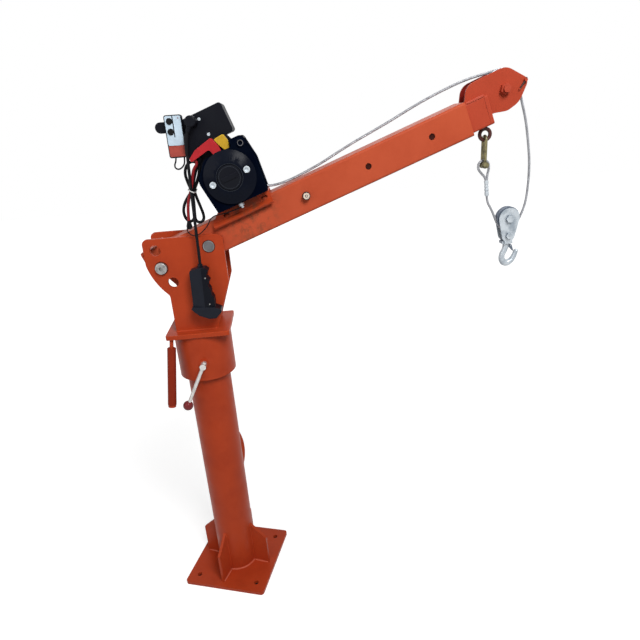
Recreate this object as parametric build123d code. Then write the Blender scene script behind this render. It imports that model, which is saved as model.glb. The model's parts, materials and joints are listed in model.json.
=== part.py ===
from build123d import *
import math
import os

# Pickup truck crane: a bolted column, a slewing head, a luffing boom with an extension,
# an electric winch and a hook block on two falls of rope.
# Frame: origin at the centre of the foot's bolt circle on its underside, +X along the boom, +Z up.

# Foot
PLATE_SIZE = 250.0
PLATE_THICK = 10.0
PLATE_CORNER = 10.0
BASE_YAW = -18.0
BOLT_CIRCLE = 262.0
BOLT_HOLE = 14.0
COLUMN_OD = 114.3
COLUMN_WALL = 6.0
COLUMN_LID = 10.0
GUSSET_THICK = 8.0
GUSSET_YAW = -23.0
GUSSET_REACH = 107.0
GUSSET_HEIGHT = 140.0
GUSSET_KNEE = 95.0
LUG_AZIMUTH = 35.0
LUG_Z = 390.0
LUG_HEIGHT = 134.0
LUG_REACH = 14.5
LUG_THICK = 10.0

# Slewing head
HEAD_TOP = 812.0
HEAD_SIZE = 160.0
HEAD_THICK = 12.0
SLEEVE_OD = 149.0
SLEEVE_WALL = 6.0
SLEEVE_BOTTOM = 677.0
BUSH_LENGTH = 30.0
THRUST_THICK = 6.0
RUN_GAP = 0.05
FACE_GAP = 0.2
CHEEK_THICK = 10.0
CHEEK_GAP = 2.0
CHEEK_RISE = 28.0
CHEEK_LEFT = -100.5
CHEEK_RIGHT = 92.5
CHEEK_FOOT = (-56.0, 50.0)
CHEEK_KNEE_RIGHT = 933.0
CHEEK_MARGIN = 32.4
CHEEK_NECK_R = 14.0
PIVOT_X = 56.0
PIVOT_Z = 1024.0
PIVOT_PIN = 28.0
PIVOT_HEAD = 38.0
LOCK_RADIUS = 128.0
LOCK_STEP = 20.0
LOCK_PIN = 25.0
LOCK_HEAD = 29.0
LOCK_GAP = 0.5
PIN_HEAD_THICK = 8.0
PIN_SPARE = 12.0

# Turn handle and clamp
HANDLE_CORNER = 68.0
HANDLE_LEAN = 24.0
HANDLE_DROP = 180.0
HANDLE_ROD = 10.0
GRIP_OD = 22.0
GRIP_WALL = 3.5
GRIP_LENGTH = 155.0
GRIP_GAP = 0.4
GRIP_WASHER = 5.0
CLAMP_Z = 727.0
CLAMP_X = 4.0
CLAMP_SCREW = 16.0
CLAMP_BOSS = 22.0
CLAMP_BOSS_REACH = 7.0
CLAMP_HEAD_REACH = 26.0
LEVER_ROD = 9.0
LEVER_LENGTH = 115.0
LEVER_TILT = 27.0
KNOB_D = 26.0

# Boom, in its own frame: U along the boom from the pivot, V square to it and up
BOOM_ANGLE = 20.0
BOOM_SIZE = 80.0
BOOM_WALL = 5.0
BOOM_CORNER = 6.0
BOOM_RISE = 10.0
BOOM_TAIL = -160.0
BOOM_END = 686.0
BUSH_WALL = 6.0
NOTCH_SPARE = 8.0
LOCK_BOLT_U = 265.0
LOCK_BOLT_STEP = 163.0
LOCK_BOLT = 14.0
BOLT_GAP = 0.5
EXT_GAP = 0.6
EXT_WALL = 5.0
EXT_TAIL = 226.0
EXT_END = 742.0
EXT_CAP = 6.0
SADDLE_START = 34.0
SADDLE_LENGTH = 155.0
SADDLE_THICK = 5.0
SADDLE_RISE = 12.0
SADDLE_DROP = 8.0
SADDLE_LIP = (12.0, 9.0)
SADDLE_SLOPE = 23.0
SADDLE_SLOT = (16.0, 8.0)
SADDLE_SLOT_INSET = 16.0

# Winch, in the boom's frame
WINCH_U = 125.0
WINCH_V = 124.0
DRUM_HALF = 30.0
DRUM_CORE_R = 24.0
DRUM_FLANGE_R = 50.0
DRUM_FLANGE = 3.0
DRUM_GAP = 0.4
SHAFT_R = 9.0
GEARBOX_FRONT = 82.0
GEARBOX_BACK = 30.6
GEARBOX_HALF = 71.0
GEARBOX_TOP = 196.0
GEARBOX_SHELF = 57.0
FOOT_HALF = 62.0
COVER_R = 59.5
COVER_RISE = 14.0
COVER_FACE_R = 30.0
COVER_SCREW_OUT = 42.0
COVER_SCREW_R = 7.5
COVER_POCKET_R = 9.5
BOX_SCREW_R = 3.5
BOX_SCREWS = ((114.7, 262.5), (119.0, 225.5))
STUD_R = 3.0
STUD_NUT = 12.0
STUD_NUT_HEIGHT = 7.0
STUD_SPOT = (119.0, -68.0)
STUD_LENGTH = 12.0
DIAL_R = 27.0
DIAL_RISE = 5.0
MOTOR_BRACKET = 14.0
MOTOR_R = 43.0
MOTOR_LENGTH = 112.0
END_CAP_R = 45.0
END_CAP_LENGTH = 18.0
TIE_BAR_R = 6.0
TIE_BAR_OUT = 54.0
TIE_BAR_UP = 56.0
TIE_BAR_LOW = 30.0
CORE_LAYER_R = 33.0
ROPE_D = 5.5
ROPE_PITCH = 6.1
WIND_TURNS = 4

# Control box and its cables
BOX_U = (50.0, 174.5)
BOX_V = (210.0, 277.0)
BOX_Y = (-35.0, 45.0)
BOX_CORNER = 7.0
BRACKET_SHEET = 5.0
BRACKET_HALF = 22.0
BRACKET_TAB = 9.0
BRACKET_LEAN = 8.0
BRACKET_KNEE = 102.5
PLUG_UV = (98.8, 263.8)
PLUG_R = 12.5
PLUG_REACH = 28.0
PLUG_LEAN = 3.2
PLUG_STEP = 7.0
BOOT_Y = (-69.0, -53.0)
LEAD_D = 6.0
LEAD_EXIT = (105.0, -27.0)
TERMINAL_BARREL = 9.0
TERMINAL_R = 3.8
TERMINAL_EYE = 7.0
TIE_WALL = 1.4
RED_EXIT = (68.0, 188.1)
TIE_X = 36.3
TIE_Z = 1157.0
WIRE_D = 2.5
HOLDER_X = -14.4
HOLDER_Z = 1297.0
HOLDER_R = 12.0
HOLDER_THICK = 8.0
REMOTE_SIZE = (39.5, 16.0, 91.0)
REMOTE_X = 18.3
REMOTE_Z = 1276.7
REMOTE_CORNER = 5.0
BUTTON_R = 7.0
BUTTON_RISE = 2.5
BUTTON_TRAVEL = 1.5
BUTTON_GAP = 0.3
BUTTON_X = 10.5
BUTTONS_Z = (1309.0, 1287.0)
STRAP_D = 3.0
STRAP_INSET = 3.0
CABLE_D = 7.0
HANDSET_Y = -74.0
HANDSET_THICK = 30.0
HANDSET_FLARE = 2.0
HANDSET_RIDGE = ((31.3, 876.6), (34.7, 973.9))
HANDSET_SLOPE = 0.2
NECK_TOP = (33.0, 988.0)
ROCKER_SIZE = (18.0, 6.0, 30.0)

# Boom head, in the boom's frame
SHEAVE_UV = (790.0, 36.5)
SHEAVE_GROOVE_R = 41.0
SHEAVE_RIM_R = 47.0
SHEAVE_WIDTH = 20.0
HEAD_CHEEK_THICK = 6.0
HEAD_CHEEK_HALF = 14.5
SHEAVE_BOLT = 16.0
SHEAVE_NUT = 22.0
SHEAVE_NUT_HEIGHT = 11.0
SHEAVE_BOLT_SPARE = 6.0
KEEPER_AZIMUTH = 19.0
KEEPER_D = 7.0
ROPE_GAP = 0.3
RING_R = 13.0
RING_ROD = 9.0
RING_U = 724.0
RING_DROP = 19.1
RING_PAD_R = 6.0
FALL_LEAN = 14.0

# Rope end and hook block
SHACKLE_ROD = 8.0
SHACKLE_HALF = 9.0
SHACKLE_BOLT = 8.0
SHACKLE_DROP = 67.5
EYE_R = 16.0
EYE_BORE_R = 8.0
EYE_THICK = 8.0
FERRULE_TOP = (760.0, 1121.0)
FERRULE_END = (763.5, 1082.0)
FERRULE_R = 5.5
BLOCK_X = 821.0
BLOCK_Z = 1022.0
BLOCK_GROOVE_R = 27.0
BLOCK_RIM_R = 29.5
BLOCK_SHEAVE_WIDTH = 16.0
BLOCK_HALF = 10.0
BLOCK_CHEEK_THICK = 4.0
BLOCK_CHEEK_R = 27.0
BLOCK_FOOT_R = 17.0
BLOCK_BOLT = 12.0
BLOCK_LOW_BOLT = 10.0
BLOCK_LOW_DROP = 44.0
YOKE_DROP = 5.0
SWIVEL_PLATE = (28.0, 7.0)
HOOK_SHANK = 10.0
HOOK_BAR = 15.0
LATCH_HINGE = (12.0, -8.0)
LATCH_REACH = (19.5, -21.5)
LATCH_THICK = 2.0
LATCH_PLATE = 1.5
LATCH_PIN_R = 1.6
LATCH_EYE_R = 4.0
LATCH_EAR = 2.0
LATCH_GAP = 0.3

COLUMN_R = COLUMN_OD / 2
COLUMN_TOP = HEAD_TOP - HEAD_THICK - THRUST_THICK - FACE_GAP
SLEEVE_R = SLEEVE_OD / 2
BOOM_HALF = BOOM_SIZE / 2
BOOM_TOP = BOOM_RISE + BOOM_HALF
CHEEK_IN = BOOM_HALF + CHEEK_GAP
CHEEK_OUT = CHEEK_IN + CHEEK_THICK
EXT_SIZE = BOOM_SIZE - 2 * BOOM_WALL - 2 * EXT_GAP
EXT_TOP = BOOM_RISE + EXT_SIZE / 2
EXT_BOTTOM = BOOM_RISE - EXT_SIZE / 2
SADDLE_TOP = BOOM_TOP + SADDLE_RISE
SADDLE_HALF = BOOM_HALF + SADDLE_THICK
ROPE_R = ROPE_D / 2
WIND_R = CORE_LAYER_R + ROPE_R + 0.1
HEAD_WRAP_R = SHEAVE_GROOVE_R + ROPE_R + ROPE_GAP
BLOCK_WRAP_R = BLOCK_GROOVE_R + ROPE_R + ROPE_GAP
COS = math.cos(math.radians(BOOM_ANGLE))
SIN = math.sin(math.radians(BOOM_ANGLE))
AT_BOOM = Location((PIVOT_X, 0, PIVOT_Z), (0, -BOOM_ANGLE, 0))
parts = {}


def to_world(u, v):
    """X and Z of a point of the boom's frame."""
    return PIVOT_X + u * COS - v * SIN, PIVOT_Z + u * SIN + v * COS


def block(x, y, z):
    """Box between pairs of limits."""
    mid = [(a + b) / 2 for a, b in (x, y, z)]
    return Pos(*mid) * Box(x[1] - x[0], y[1] - y[0], z[1] - z[0])


def rod(start, end, radius):
    """Round bar between two points."""
    start = Vector(*start)
    along = Vector(*end) - start
    bar = Cylinder(radius, along.length, align=(Align.CENTER, Align.CENTER, Align.MIN))
    return Plane(origin=start, z_dir=along) * bar


def cross_rod(x, z, y, radius):
    """Round bar along Y."""
    return rod((x, y[0], z), (x, y[1], z), radius)


def hex_rod(x, z, y, flats):
    """Hexagonal bar along Y, for nuts and bolt heads."""
    return plate(Pos(x, z) * RegularPolygon(flats / math.sqrt(3), 6), y)


def plate(sketch, y):
    """Sketch drawn in X and Z, thickened between two Y limits."""
    return extrude(Plane.XZ.offset(-y[0]) * sketch, amount=y[0] - y[1])


def outline(*corners):
    """Face from corners given as (x, y, corner radius)."""
    spots = [Vector(x, y) for x, y, _ in corners]
    ends = []
    for i, (_, _, radius) in enumerate(corners):
        here = spots[i]
        back = (spots[i - 1] - here).normalized()
        on = (spots[(i + 1) % len(spots)] - here).normalized()
        if radius == 0:
            ends.append((here, None, here))
            continue
        half = math.radians(back.get_angle(on)) / 2
        reach = radius / math.tan(half)
        middle = here + (back + on).normalized() * (radius / math.sin(half) - radius)
        ends.append((here + back * reach, middle, here + on * reach))
    edges = []
    for i, (first, middle, last) in enumerate(ends):
        if middle is not None:
            edges.append(ThreePointArc(first, middle, last))
        edges.append(Line(last, ends[(i + 1) % len(ends)][0]))
    return make_face(edges)


def revolve_y(profile, x, z):
    """Turn a profile of (radius, y) corners about a line along Y through x, z."""
    face = make_face(Polyline(*profile, close=True))
    return Pos(x, 0, z) * revolve(face, axis=Axis.Y)


def wrap(centre, radius, start, stop):
    """Corners of a route that lies on a wheel clockwise between two angles, in two bends."""
    half = (start - stop) / 4
    return [(centre[0] + radius / math.cos(half) * math.cos(angle), 0,
             centre[1] + radius / math.cos(half) * math.sin(angle)) for angle in (start - half, stop + half)]


def touch(centre, radius, spot, side):
    """Angle at which a line from a spot touches a wheel, on the side given as 1 or -1."""
    x, z = spot[0] - centre[0], spot[1] - centre[1]
    return math.atan2(z, x) + side * math.acos(radius / math.hypot(x, z))


def self_gap(path, diameter):
    """Least clear distance between stretches of one cord that lie side by side."""
    count = int(2 * path.length / diameter)
    skip = int(4 * diameter * count / path.length)
    points = [path @ (i / count) for i in range(count + 1)]
    return min((a - b).length for i, a in enumerate(points) for b in points[i + skip:]) - diameter


def cord(name, points, diameter, bends=None, looped=False):
    """Round cord along straight runs joined by the largest arcs that the runs allow."""
    spots = [Vector(*p) for p in points]
    radii = []
    for i, (a, b, c) in enumerate(zip(spots, spots[1:], spots[2:])):
        turn = math.radians((b - a).get_angle(c - b))
        reach = 0.45 * min((b - a).length, (c - b).length)
        radii.append((bends or {}).get(i + 1, reach / math.tan(turn / 2)))
    path = FilletPolyline(*spots, radius=radii)
    ring = Plane(origin=path @ 0, z_dir=path % 0) * Circle(diameter / 2)
    tube = sweep(ring, path=path)
    ideal = math.pi * diameter ** 2 / 4 * path.length
    print(f"{name}: length {path.length:.0f} mm, least radius {min(radii):.1f} mm, "
          f"volume over section times length {tube.volume / ideal:.4f}")
    if looped:
        print(f"{name}: least gap to itself {self_gap(path, diameter):.2f} mm")
    return tube


def square_tube(size, wall, corner, u, rise):
    """Square tube along the boom with rounded corners."""
    inner = size - 2 * wall
    section = RectangleRounded(size, size, corner) - RectangleRounded(inner, inner, max(corner - wall, 1.0))
    start = Plane(origin=(u[0], 0, rise), x_dir=(0, 1, 0), z_dir=(1, 0, 0))
    return extrude(start * section, amount=u[1] - u[0])


def foot():
    """Base plate, gussets, column, lug and thrust washer."""
    turn = Rot(0, 0, BASE_YAW)
    holes = PolarLocations(BOLT_CIRCLE / 2, 4, start_angle=45)
    shape = RectangleRounded(PLATE_SIZE, PLATE_SIZE, PLATE_CORNER) - holes * Circle(BOLT_HOLE / 2)
    parts["base_plate"] = turn * extrude(shape, amount=PLATE_THICK)
    rib = outline((0, PLATE_THICK, 0), (GUSSET_REACH, PLATE_THICK, 0),
                  (GUSSET_REACH, PLATE_THICK + GUSSET_KNEE, 4),
                  (COLUMN_R, PLATE_THICK + GUSSET_HEIGHT, 0), (0, PLATE_THICK + GUSSET_HEIGHT, 0))
    rib = plate(rib, (-GUSSET_THICK / 2, GUSSET_THICK / 2))
    rib -= Cylinder(COLUMN_R, COLUMN_TOP, align=(Align.CENTER, Align.CENTER, Align.MIN))
    parts["base_gussets"] = Compound([Rot(0, 0, GUSSET_YAW + 90 * k) * rib for k in range(4)])
    tube = rod((0, 0, PLATE_THICK), (0, 0, COLUMN_TOP), COLUMN_R)
    tube -= rod((0, 0, PLATE_THICK), (0, 0, COLUMN_TOP - COLUMN_LID), COLUMN_R - COLUMN_WALL)
    parts["column_tube"] = tube
    washer = Circle(COLUMN_R - 2) - Circle(COLUMN_R / 3)
    parts["thrust_washer"] = Pos(0, 0, COLUMN_TOP) * extrude(washer, amount=THRUST_THICK)
    half = LUG_HEIGHT / 2
    bow = make_face([Line((COLUMN_R, -half), (COLUMN_R, half)),
                     ThreePointArc((COLUMN_R, half), (COLUMN_R + LUG_REACH, 0), (COLUMN_R, -half))])
    root = Pos(COLUMN_R / 2, 0) * Rectangle(COLUMN_R, LUG_HEIGHT)
    lug = Pos(0, 0, LUG_Z) * plate(bow + root, (-LUG_THICK / 2, LUG_THICK / 2))
    lug -= rod((0, 0, PLATE_THICK), (0, 0, COLUMN_TOP), COLUMN_R)
    parts["column_lug"] = Rot(0, 0, LUG_AZIMUTH) * lug


def cheek_outline():
    """Cheek from the side: a foot on the head plate, and a lower left edge that runs round the pivot."""
    top = PIVOT_Z + CHEEK_RISE
    edge = LOCK_RADIUS + CHEEK_MARGIN
    left, right = CHEEK_FOOT
    whole = outline((CHEEK_LEFT, HEAD_TOP, 0), (right, HEAD_TOP, 0), (CHEEK_RIGHT, CHEEK_KNEE_RIGHT, 14),
                    (CHEEK_RIGHT, top, 18), (CHEEK_LEFT, top, 13))
    stem = outline((left, HEAD_TOP, 0), (CHEEK_RIGHT, HEAD_TOP, 0), (CHEEK_RIGHT, PIVOT_Z, 0),
                   (left, PIVOT_Z, 0))
    side = whole & (Pos(PIVOT_X, PIVOT_Z) * Circle(edge) + stem)
    neck = (left, PIVOT_Z - math.sqrt(edge ** 2 - (PIVOT_X - left) ** 2))
    return fillet(side.vertices().sort_by_distance(neck)[0], CHEEK_NECK_R)


def slewing_head():
    """Sleeve, bushes, head plate, cheeks and pins."""
    under = HEAD_TOP - HEAD_THICK
    bore = SLEEVE_R - SLEEVE_WALL
    sleeve = rod((0, 0, SLEEVE_BOTTOM), (0, 0, under), SLEEVE_R)
    sleeve -= rod((0, 0, SLEEVE_BOTTOM), (0, 0, under), bore)
    sleeve -= rod((CLAMP_X, -SLEEVE_R - 1, CLAMP_Z), (CLAMP_X, 0, CLAMP_Z), CLAMP_SCREW / 2 + RUN_GAP)
    parts["slew_sleeve"] = sleeve
    ring = extrude(Circle(bore) - Circle(COLUMN_R + RUN_GAP), amount=BUSH_LENGTH)
    high = under - BUSH_LENGTH - THRUST_THICK - FACE_GAP
    parts["slew_bushes"] = Compound([Pos(0, 0, SLEEVE_BOTTOM) * ring, Pos(0, 0, high) * ring])
    top = Pos(0, 0, under) * extrude(RectangleRounded(HEAD_SIZE, HEAD_SIZE, 6), amount=HEAD_THICK)
    parts["head_plate"] = top
    side = cheek_outline() - Pos(PIVOT_X, PIVOT_Z) * Circle(PIVOT_PIN / 2)
    for step in range(3):
        spot = math.radians(180 + step * LOCK_STEP)
        hole = Pos(PIVOT_X + LOCK_RADIUS * math.cos(spot), PIVOT_Z + LOCK_RADIUS * math.sin(spot))
        side -= hole * Circle(LOCK_PIN / 2 + LOCK_GAP)
    parts["near_cheek"] = plate(side, (-CHEEK_OUT, -CHEEK_IN))
    parts["far_cheek"] = plate(side, (CHEEK_IN, CHEEK_OUT))
    pin = cross_rod(PIVOT_X, PIVOT_Z, (-CHEEK_OUT - 0.5, CHEEK_OUT), PIVOT_PIN / 2)
    pin += cross_rod(PIVOT_X, PIVOT_Z, (CHEEK_OUT, CHEEK_OUT + PIN_HEAD_THICK), PIVOT_HEAD / 2)
    parts["pivot_pin"] = pin
    x, z = to_world(-LOCK_RADIUS, 0)
    pin = cross_rod(x, z, (-CHEEK_OUT, CHEEK_OUT + PIN_SPARE), LOCK_PIN / 2)
    pin = chamfer(pin.edges().sort_by(Axis.Y)[-1], 3)
    head = cross_rod(x, z, (-CHEEK_OUT - PIN_HEAD_THICK, -CHEEK_OUT), LOCK_HEAD / 2)
    head = chamfer(head.edges().sort_by(Axis.Y)[0], 1.5)
    parts["lock_pin"] = pin + head - cross_rod(x, z, (-CHEEK_OUT - PIN_HEAD_THICK, -CHEEK_OUT), 5)


def turn_handle():
    """Leaning rod under the head plate with its loose grip."""
    corner = Vector(-HANDLE_CORNER, -HANDLE_CORNER, HEAD_TOP - HEAD_THICK)
    low = corner + Vector(-HANDLE_LEAN, -HANDLE_LEAN, -HANDLE_DROP)
    along = (low - corner).normalized()
    bar = rod(corner - along * HANDLE_ROD, low, HANDLE_ROD / 2)
    bar -= block((corner.X - 40, corner.X + 40), (corner.Y - 40, corner.Y + 40), (corner.Z, corner.Z + 60))
    washer = rod(low - along * GRIP_WASHER, low, GRIP_OD / 2 - 1)
    parts["handle_rod"] = bar + washer
    foot_end = low - along * (GRIP_WASHER + FACE_GAP)
    head_end = foot_end - along * GRIP_LENGTH
    sleeve = rod(foot_end, head_end, GRIP_OD / 2)
    sleeve = fillet(sleeve.edges(), 2)
    sleeve -= rod(foot_end, head_end, GRIP_OD / 2 - GRIP_WALL)
    lip_end = foot_end - along * 8
    lip = rod(foot_end, lip_end, GRIP_OD / 2 - GRIP_WALL + 0.5)
    lip -= rod(foot_end, lip_end, HANDLE_ROD / 2 + GRIP_GAP)
    parts["turn_grip"] = sleeve + lip


def clamp():
    """Clamp nut on the sleeve, its screw with a lever and the lever's knob."""
    face = -SLEEVE_R - CLAMP_BOSS_REACH
    boss = cross_rod(CLAMP_X, CLAMP_Z, (face, 0), CLAMP_BOSS / 2)
    boss -= rod((0, 0, SLEEVE_BOTTOM), (0, 0, HEAD_TOP), SLEEVE_R)
    parts["clamp_nut"] = boss - cross_rod(CLAMP_X, CLAMP_Z, (face, 0), CLAMP_SCREW / 2 + RUN_GAP)
    tip = -math.sqrt(COLUMN_R ** 2 - CLAMP_X ** 2) - 1.0
    screw = cross_rod(CLAMP_X, CLAMP_Z, (-SLEEVE_R - CLAMP_HEAD_REACH, tip), CLAMP_SCREW / 2)
    y = -SLEEVE_R - CLAMP_HEAD_REACH + LEVER_ROD
    down = Vector(-math.sin(math.radians(LEVER_TILT)), 0, -math.cos(math.radians(LEVER_TILT)))
    start = Vector(CLAMP_X, y, CLAMP_Z)
    end = start + down * LEVER_LENGTH
    centre = end + down * KNOB_D / 4
    lever = rod(start - down * CLAMP_SCREW * 0.8, centre, LEVER_ROD / 2)
    parts["clamp_screw"] = screw + lever
    ball, bore = KNOB_D / 2, LEVER_ROD / 2 + RUN_GAP
    mouth = math.sqrt(ball ** 2 - bore ** 2)
    half = make_face([ThreePointArc((0, -ball), (ball, 0), (bore, mouth)),
                      Polyline((bore, mouth), (bore, -RUN_GAP), (0, -RUN_GAP), (0, -ball))])
    knob = revolve(Plane.XZ * half, axis=Axis.Z)
    parts["clamp_knob"] = Plane(origin=centre, z_dir=-down) * knob


def saddle():
    """Channel over the boom that carries the winch, with a lip along each side and a sloped tail end."""
    low, thick = BOOM_TOP - SADDLE_DROP, SADDLE_THICK
    out, down = SADDLE_LIP
    span = math.hypot(out, down)
    fold = thick * (span - down) / out
    half = [(0, SADDLE_TOP), (SADDLE_HALF, SADDLE_TOP), (SADDLE_HALF, low), (SADDLE_HALF + out, low - down),
            (SADDLE_HALF + out - thick * down / span, low - down - thick * out / span),
            (BOOM_HALF, low - fold), (BOOM_HALF, SADDLE_TOP - thick), (0, SADDLE_TOP - thick)]
    section = make_face(Polyline(*half, *[(-y, v) for y, v in half[-2:0:-1]], close=True))
    start = Plane(origin=(SADDLE_START, 0, 0), x_dir=(0, 1, 0), z_dir=(1, 0, 0))
    channel = extrude(start * section, amount=SADDLE_LENGTH)
    far = SADDLE_START + SADDLE_SLOPE
    tail = make_face(Polyline((SADDLE_START, low), (far, SADDLE_TOP), (SADDLE_START, SADDLE_TOP), close=True))
    channel -= plate(tail, (-SADDLE_HALF - out, SADDLE_HALF + out))
    end = SADDLE_START + SADDLE_LENGTH
    for u in (far + SADDLE_SLOT_INSET, end - SADDLE_SLOT_INSET):
        slot = Pos(u, BOOM_TOP - SADDLE_SLOT[1] / 4) * SlotOverall(*SADDLE_SLOT)
        channel -= plate(slot, (-SADDLE_HALF, SADDLE_HALF))
    return channel


def boom():
    """Outer tube, pivot bush, winch saddle and the bolt that locks the extension."""
    tube = square_tube(BOOM_SIZE, BOOM_WALL, BOOM_CORNER, (BOOM_TAIL, BOOM_END), BOOM_RISE)
    bush_r = PIVOT_PIN / 2 + BUSH_WALL
    tube -= cross_rod(0, 0, (-BOOM_HALF, BOOM_HALF), bush_r)
    swing = LOCK_STEP + NOTCH_SPARE
    notch = SlotArc(CenterArc((0, 0), LOCK_RADIUS, 180 - swing, swing), LOCK_PIN + 2 * LOCK_GAP)
    tube -= plate(notch, (-BOOM_HALF, BOOM_HALF))
    for k in range(3):
        tube -= cross_rod(LOCK_BOLT_U + k * LOCK_BOLT_STEP, BOOM_RISE, (-BOOM_HALF, BOOM_HALF),
                          LOCK_BOLT / 2 + BOLT_GAP)
    parts["boom_tube"] = AT_BOOM * tube
    bush = cross_rod(0, 0, (-BOOM_HALF, BOOM_HALF), bush_r)
    parts["pivot_bush"] = AT_BOOM * (bush - cross_rod(0, 0, (-BOOM_HALF, BOOM_HALF), PIVOT_PIN / 2 + RUN_GAP))
    parts["winch_saddle"] = AT_BOOM * saddle()
    bolt = cross_rod(LOCK_BOLT_U, BOOM_RISE, (-BOOM_HALF, BOOM_HALF + 17), LOCK_BOLT / 2)
    bolt += cross_rod(LOCK_BOLT_U, BOOM_RISE, (-BOOM_HALF - 12, -BOOM_HALF), LOCK_BOLT * 0.8)
    bolt -= hex_rod(LOCK_BOLT_U, BOOM_RISE, (-BOOM_HALF - 12, -BOOM_HALF - 5), 10)
    nut = hex_rod(LOCK_BOLT_U, BOOM_RISE, (BOOM_HALF, BOOM_HALF + 12), 22)
    nut -= cross_rod(LOCK_BOLT_U, BOOM_RISE, (BOOM_HALF, BOOM_HALF + 12), LOCK_BOLT / 2)
    parts["extension_bolt"] = AT_BOOM * Compound([bolt, nut])


def gearbox_outline():
    """Winch end plate seen from its front: a wide foot and corners for the tie bars."""
    low, shelf = SADDLE_TOP, WINCH_V + GEARBOX_SHELF
    return outline((WINCH_U - FOOT_HALF, low, 3), (WINCH_U + FOOT_HALF + 3, low, 3),
                   (WINCH_U + GEARBOX_HALF, WINCH_V + 14, 30), (WINCH_U + FOOT_HALF, GEARBOX_TOP, 9),
                   (WINCH_U + TIE_BAR_OUT - 20, GEARBOX_TOP, 6), (WINCH_U + TIE_BAR_OUT - 22, shelf, 5),
                   (WINCH_U - 36, shelf, 20), (WINCH_U - GEARBOX_HALF, WINCH_V + 20, 24))


def winch():
    """Gearbox, cover, dial, drum, motor and the bars that tie them together."""
    back = -GEARBOX_BACK
    housing = plate(gearbox_outline(), (-GEARBOX_FRONT, back))
    bore = SHAFT_R + RUN_GAP
    housing -= cross_rod(WINCH_U, WINCH_V, (back - 12, back), bore)
    screw_u = (WINCH_U + TIE_BAR_OUT, WINCH_V + TIE_BAR_UP)
    housing += cross_rod(*screw_u, (-GEARBOX_FRONT - 4, -GEARBOX_FRONT), 9)
    housing -= cross_rod(*screw_u, (-GEARBOX_FRONT - 4, -GEARBOX_FRONT), 5)
    parts["gearbox_housing"] = AT_BOOM * housing
    face = -GEARBOX_FRONT - COVER_RISE
    cover = revolve_y([(0, -GEARBOX_FRONT), (COVER_R, -GEARBOX_FRONT), (COVER_R, -GEARBOX_FRONT - 4),
                       (COVER_R - 6, -GEARBOX_FRONT - 6), (COVER_FACE_R + 2, face), (COVER_FACE_R - 1, face),
                       (COVER_FACE_R - 1, face + 3), (0, face + 3)], WINCH_U, WINCH_V)
    for out in (COVER_SCREW_OUT, -COVER_SCREW_OUT):
        cover -= cross_rod(WINCH_U + out, WINCH_V, (face, -GEARBOX_FRONT - 5), COVER_POCKET_R)
    parts["gearbox_cover"] = AT_BOOM * cover
    seat = face + 3 - FACE_GAP
    dial = cross_rod(WINCH_U, WINCH_V, (seat - DIAL_RISE, seat), DIAL_R)
    dial = chamfer(dial.edges().sort_by(Axis.Y)[0], 1)
    bar = block((WINCH_U - 18, WINCH_U + 18), (seat - DIAL_RISE - 3, seat - DIAL_RISE),
                (WINCH_V - 5, WINCH_V + 5))
    parts["clutch_dial"] = AT_BOOM * (dial + bar)
    inner = DRUM_HALF - DRUM_GAP
    drum = cross_rod(WINCH_U, WINCH_V, (-inner, inner), DRUM_CORE_R)
    for y in (-inner, inner - DRUM_FLANGE):
        drum += cross_rod(WINCH_U, WINCH_V, (y, y + DRUM_FLANGE), DRUM_FLANGE_R)
    drum += cross_rod(WINCH_U, WINCH_V, (back - 11, GEARBOX_BACK + MOTOR_BRACKET - 2), SHAFT_R)
    parts["winch_drum"] = AT_BOOM * drum
    front = (GEARBOX_BACK, GEARBOX_BACK + MOTOR_BRACKET)
    bracket = plate(gearbox_outline(), front)
    parts["motor_bracket"] = AT_BOOM * (bracket - cross_rod(WINCH_U, WINCH_V, front, bore))
    start = front[1]
    end = start + MOTOR_LENGTH
    parts["motor_casing"] = AT_BOOM * cross_rod(WINCH_U, WINCH_V, (start, end), MOTOR_R)
    cap = cross_rod(WINCH_U, WINCH_V, (end, end + END_CAP_LENGTH), END_CAP_R)
    parts["motor_end_cap"] = AT_BOOM * fillet(cap.edges().sort_by(Axis.Y)[-1], 6)
    winch_fasteners()


def winch_fasteners():
    """Bars that tie the winch's two end plates together, its screws and the stud under its gearbox."""
    y = (-GEARBOX_BACK, GEARBOX_BACK)
    fasteners = [cross_rod(WINCH_U + side * TIE_BAR_OUT, WINCH_V + up, y, TIE_BAR_R)
                 for side, up in ((1, TIE_BAR_UP), (-1, TIE_BAR_LOW))]
    seat = -GEARBOX_FRONT - 5
    for out in (COVER_SCREW_OUT, -COVER_SCREW_OUT):
        screw = cross_rod(WINCH_U + out, WINCH_V, (seat - 5, seat), COVER_SCREW_R)
        fasteners.append(screw - hex_rod(WINCH_U + out, WINCH_V, (seat - 5, seat - 2), COVER_SCREW_R))
    for spot in BOX_SCREWS:
        fasteners.append(cross_rod(*spot, (BOX_Y[0] - 2, BOX_Y[0]), BOX_SCREW_R))
    u, y = STUD_SPOT
    nut = Plane(origin=(u, y, SADDLE_TOP - STUD_NUT_HEIGHT)) * RegularPolygon(STUD_NUT / math.sqrt(3), 6)
    stud = rod((u, y, SADDLE_TOP - STUD_LENGTH), (u, y, SADDLE_TOP), STUD_R)
    fasteners.append(stud + extrude(nut, amount=STUD_NUT_HEIGHT))
    parts["winch_fasteners"] = AT_BOOM * Compound(fasteners)


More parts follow.
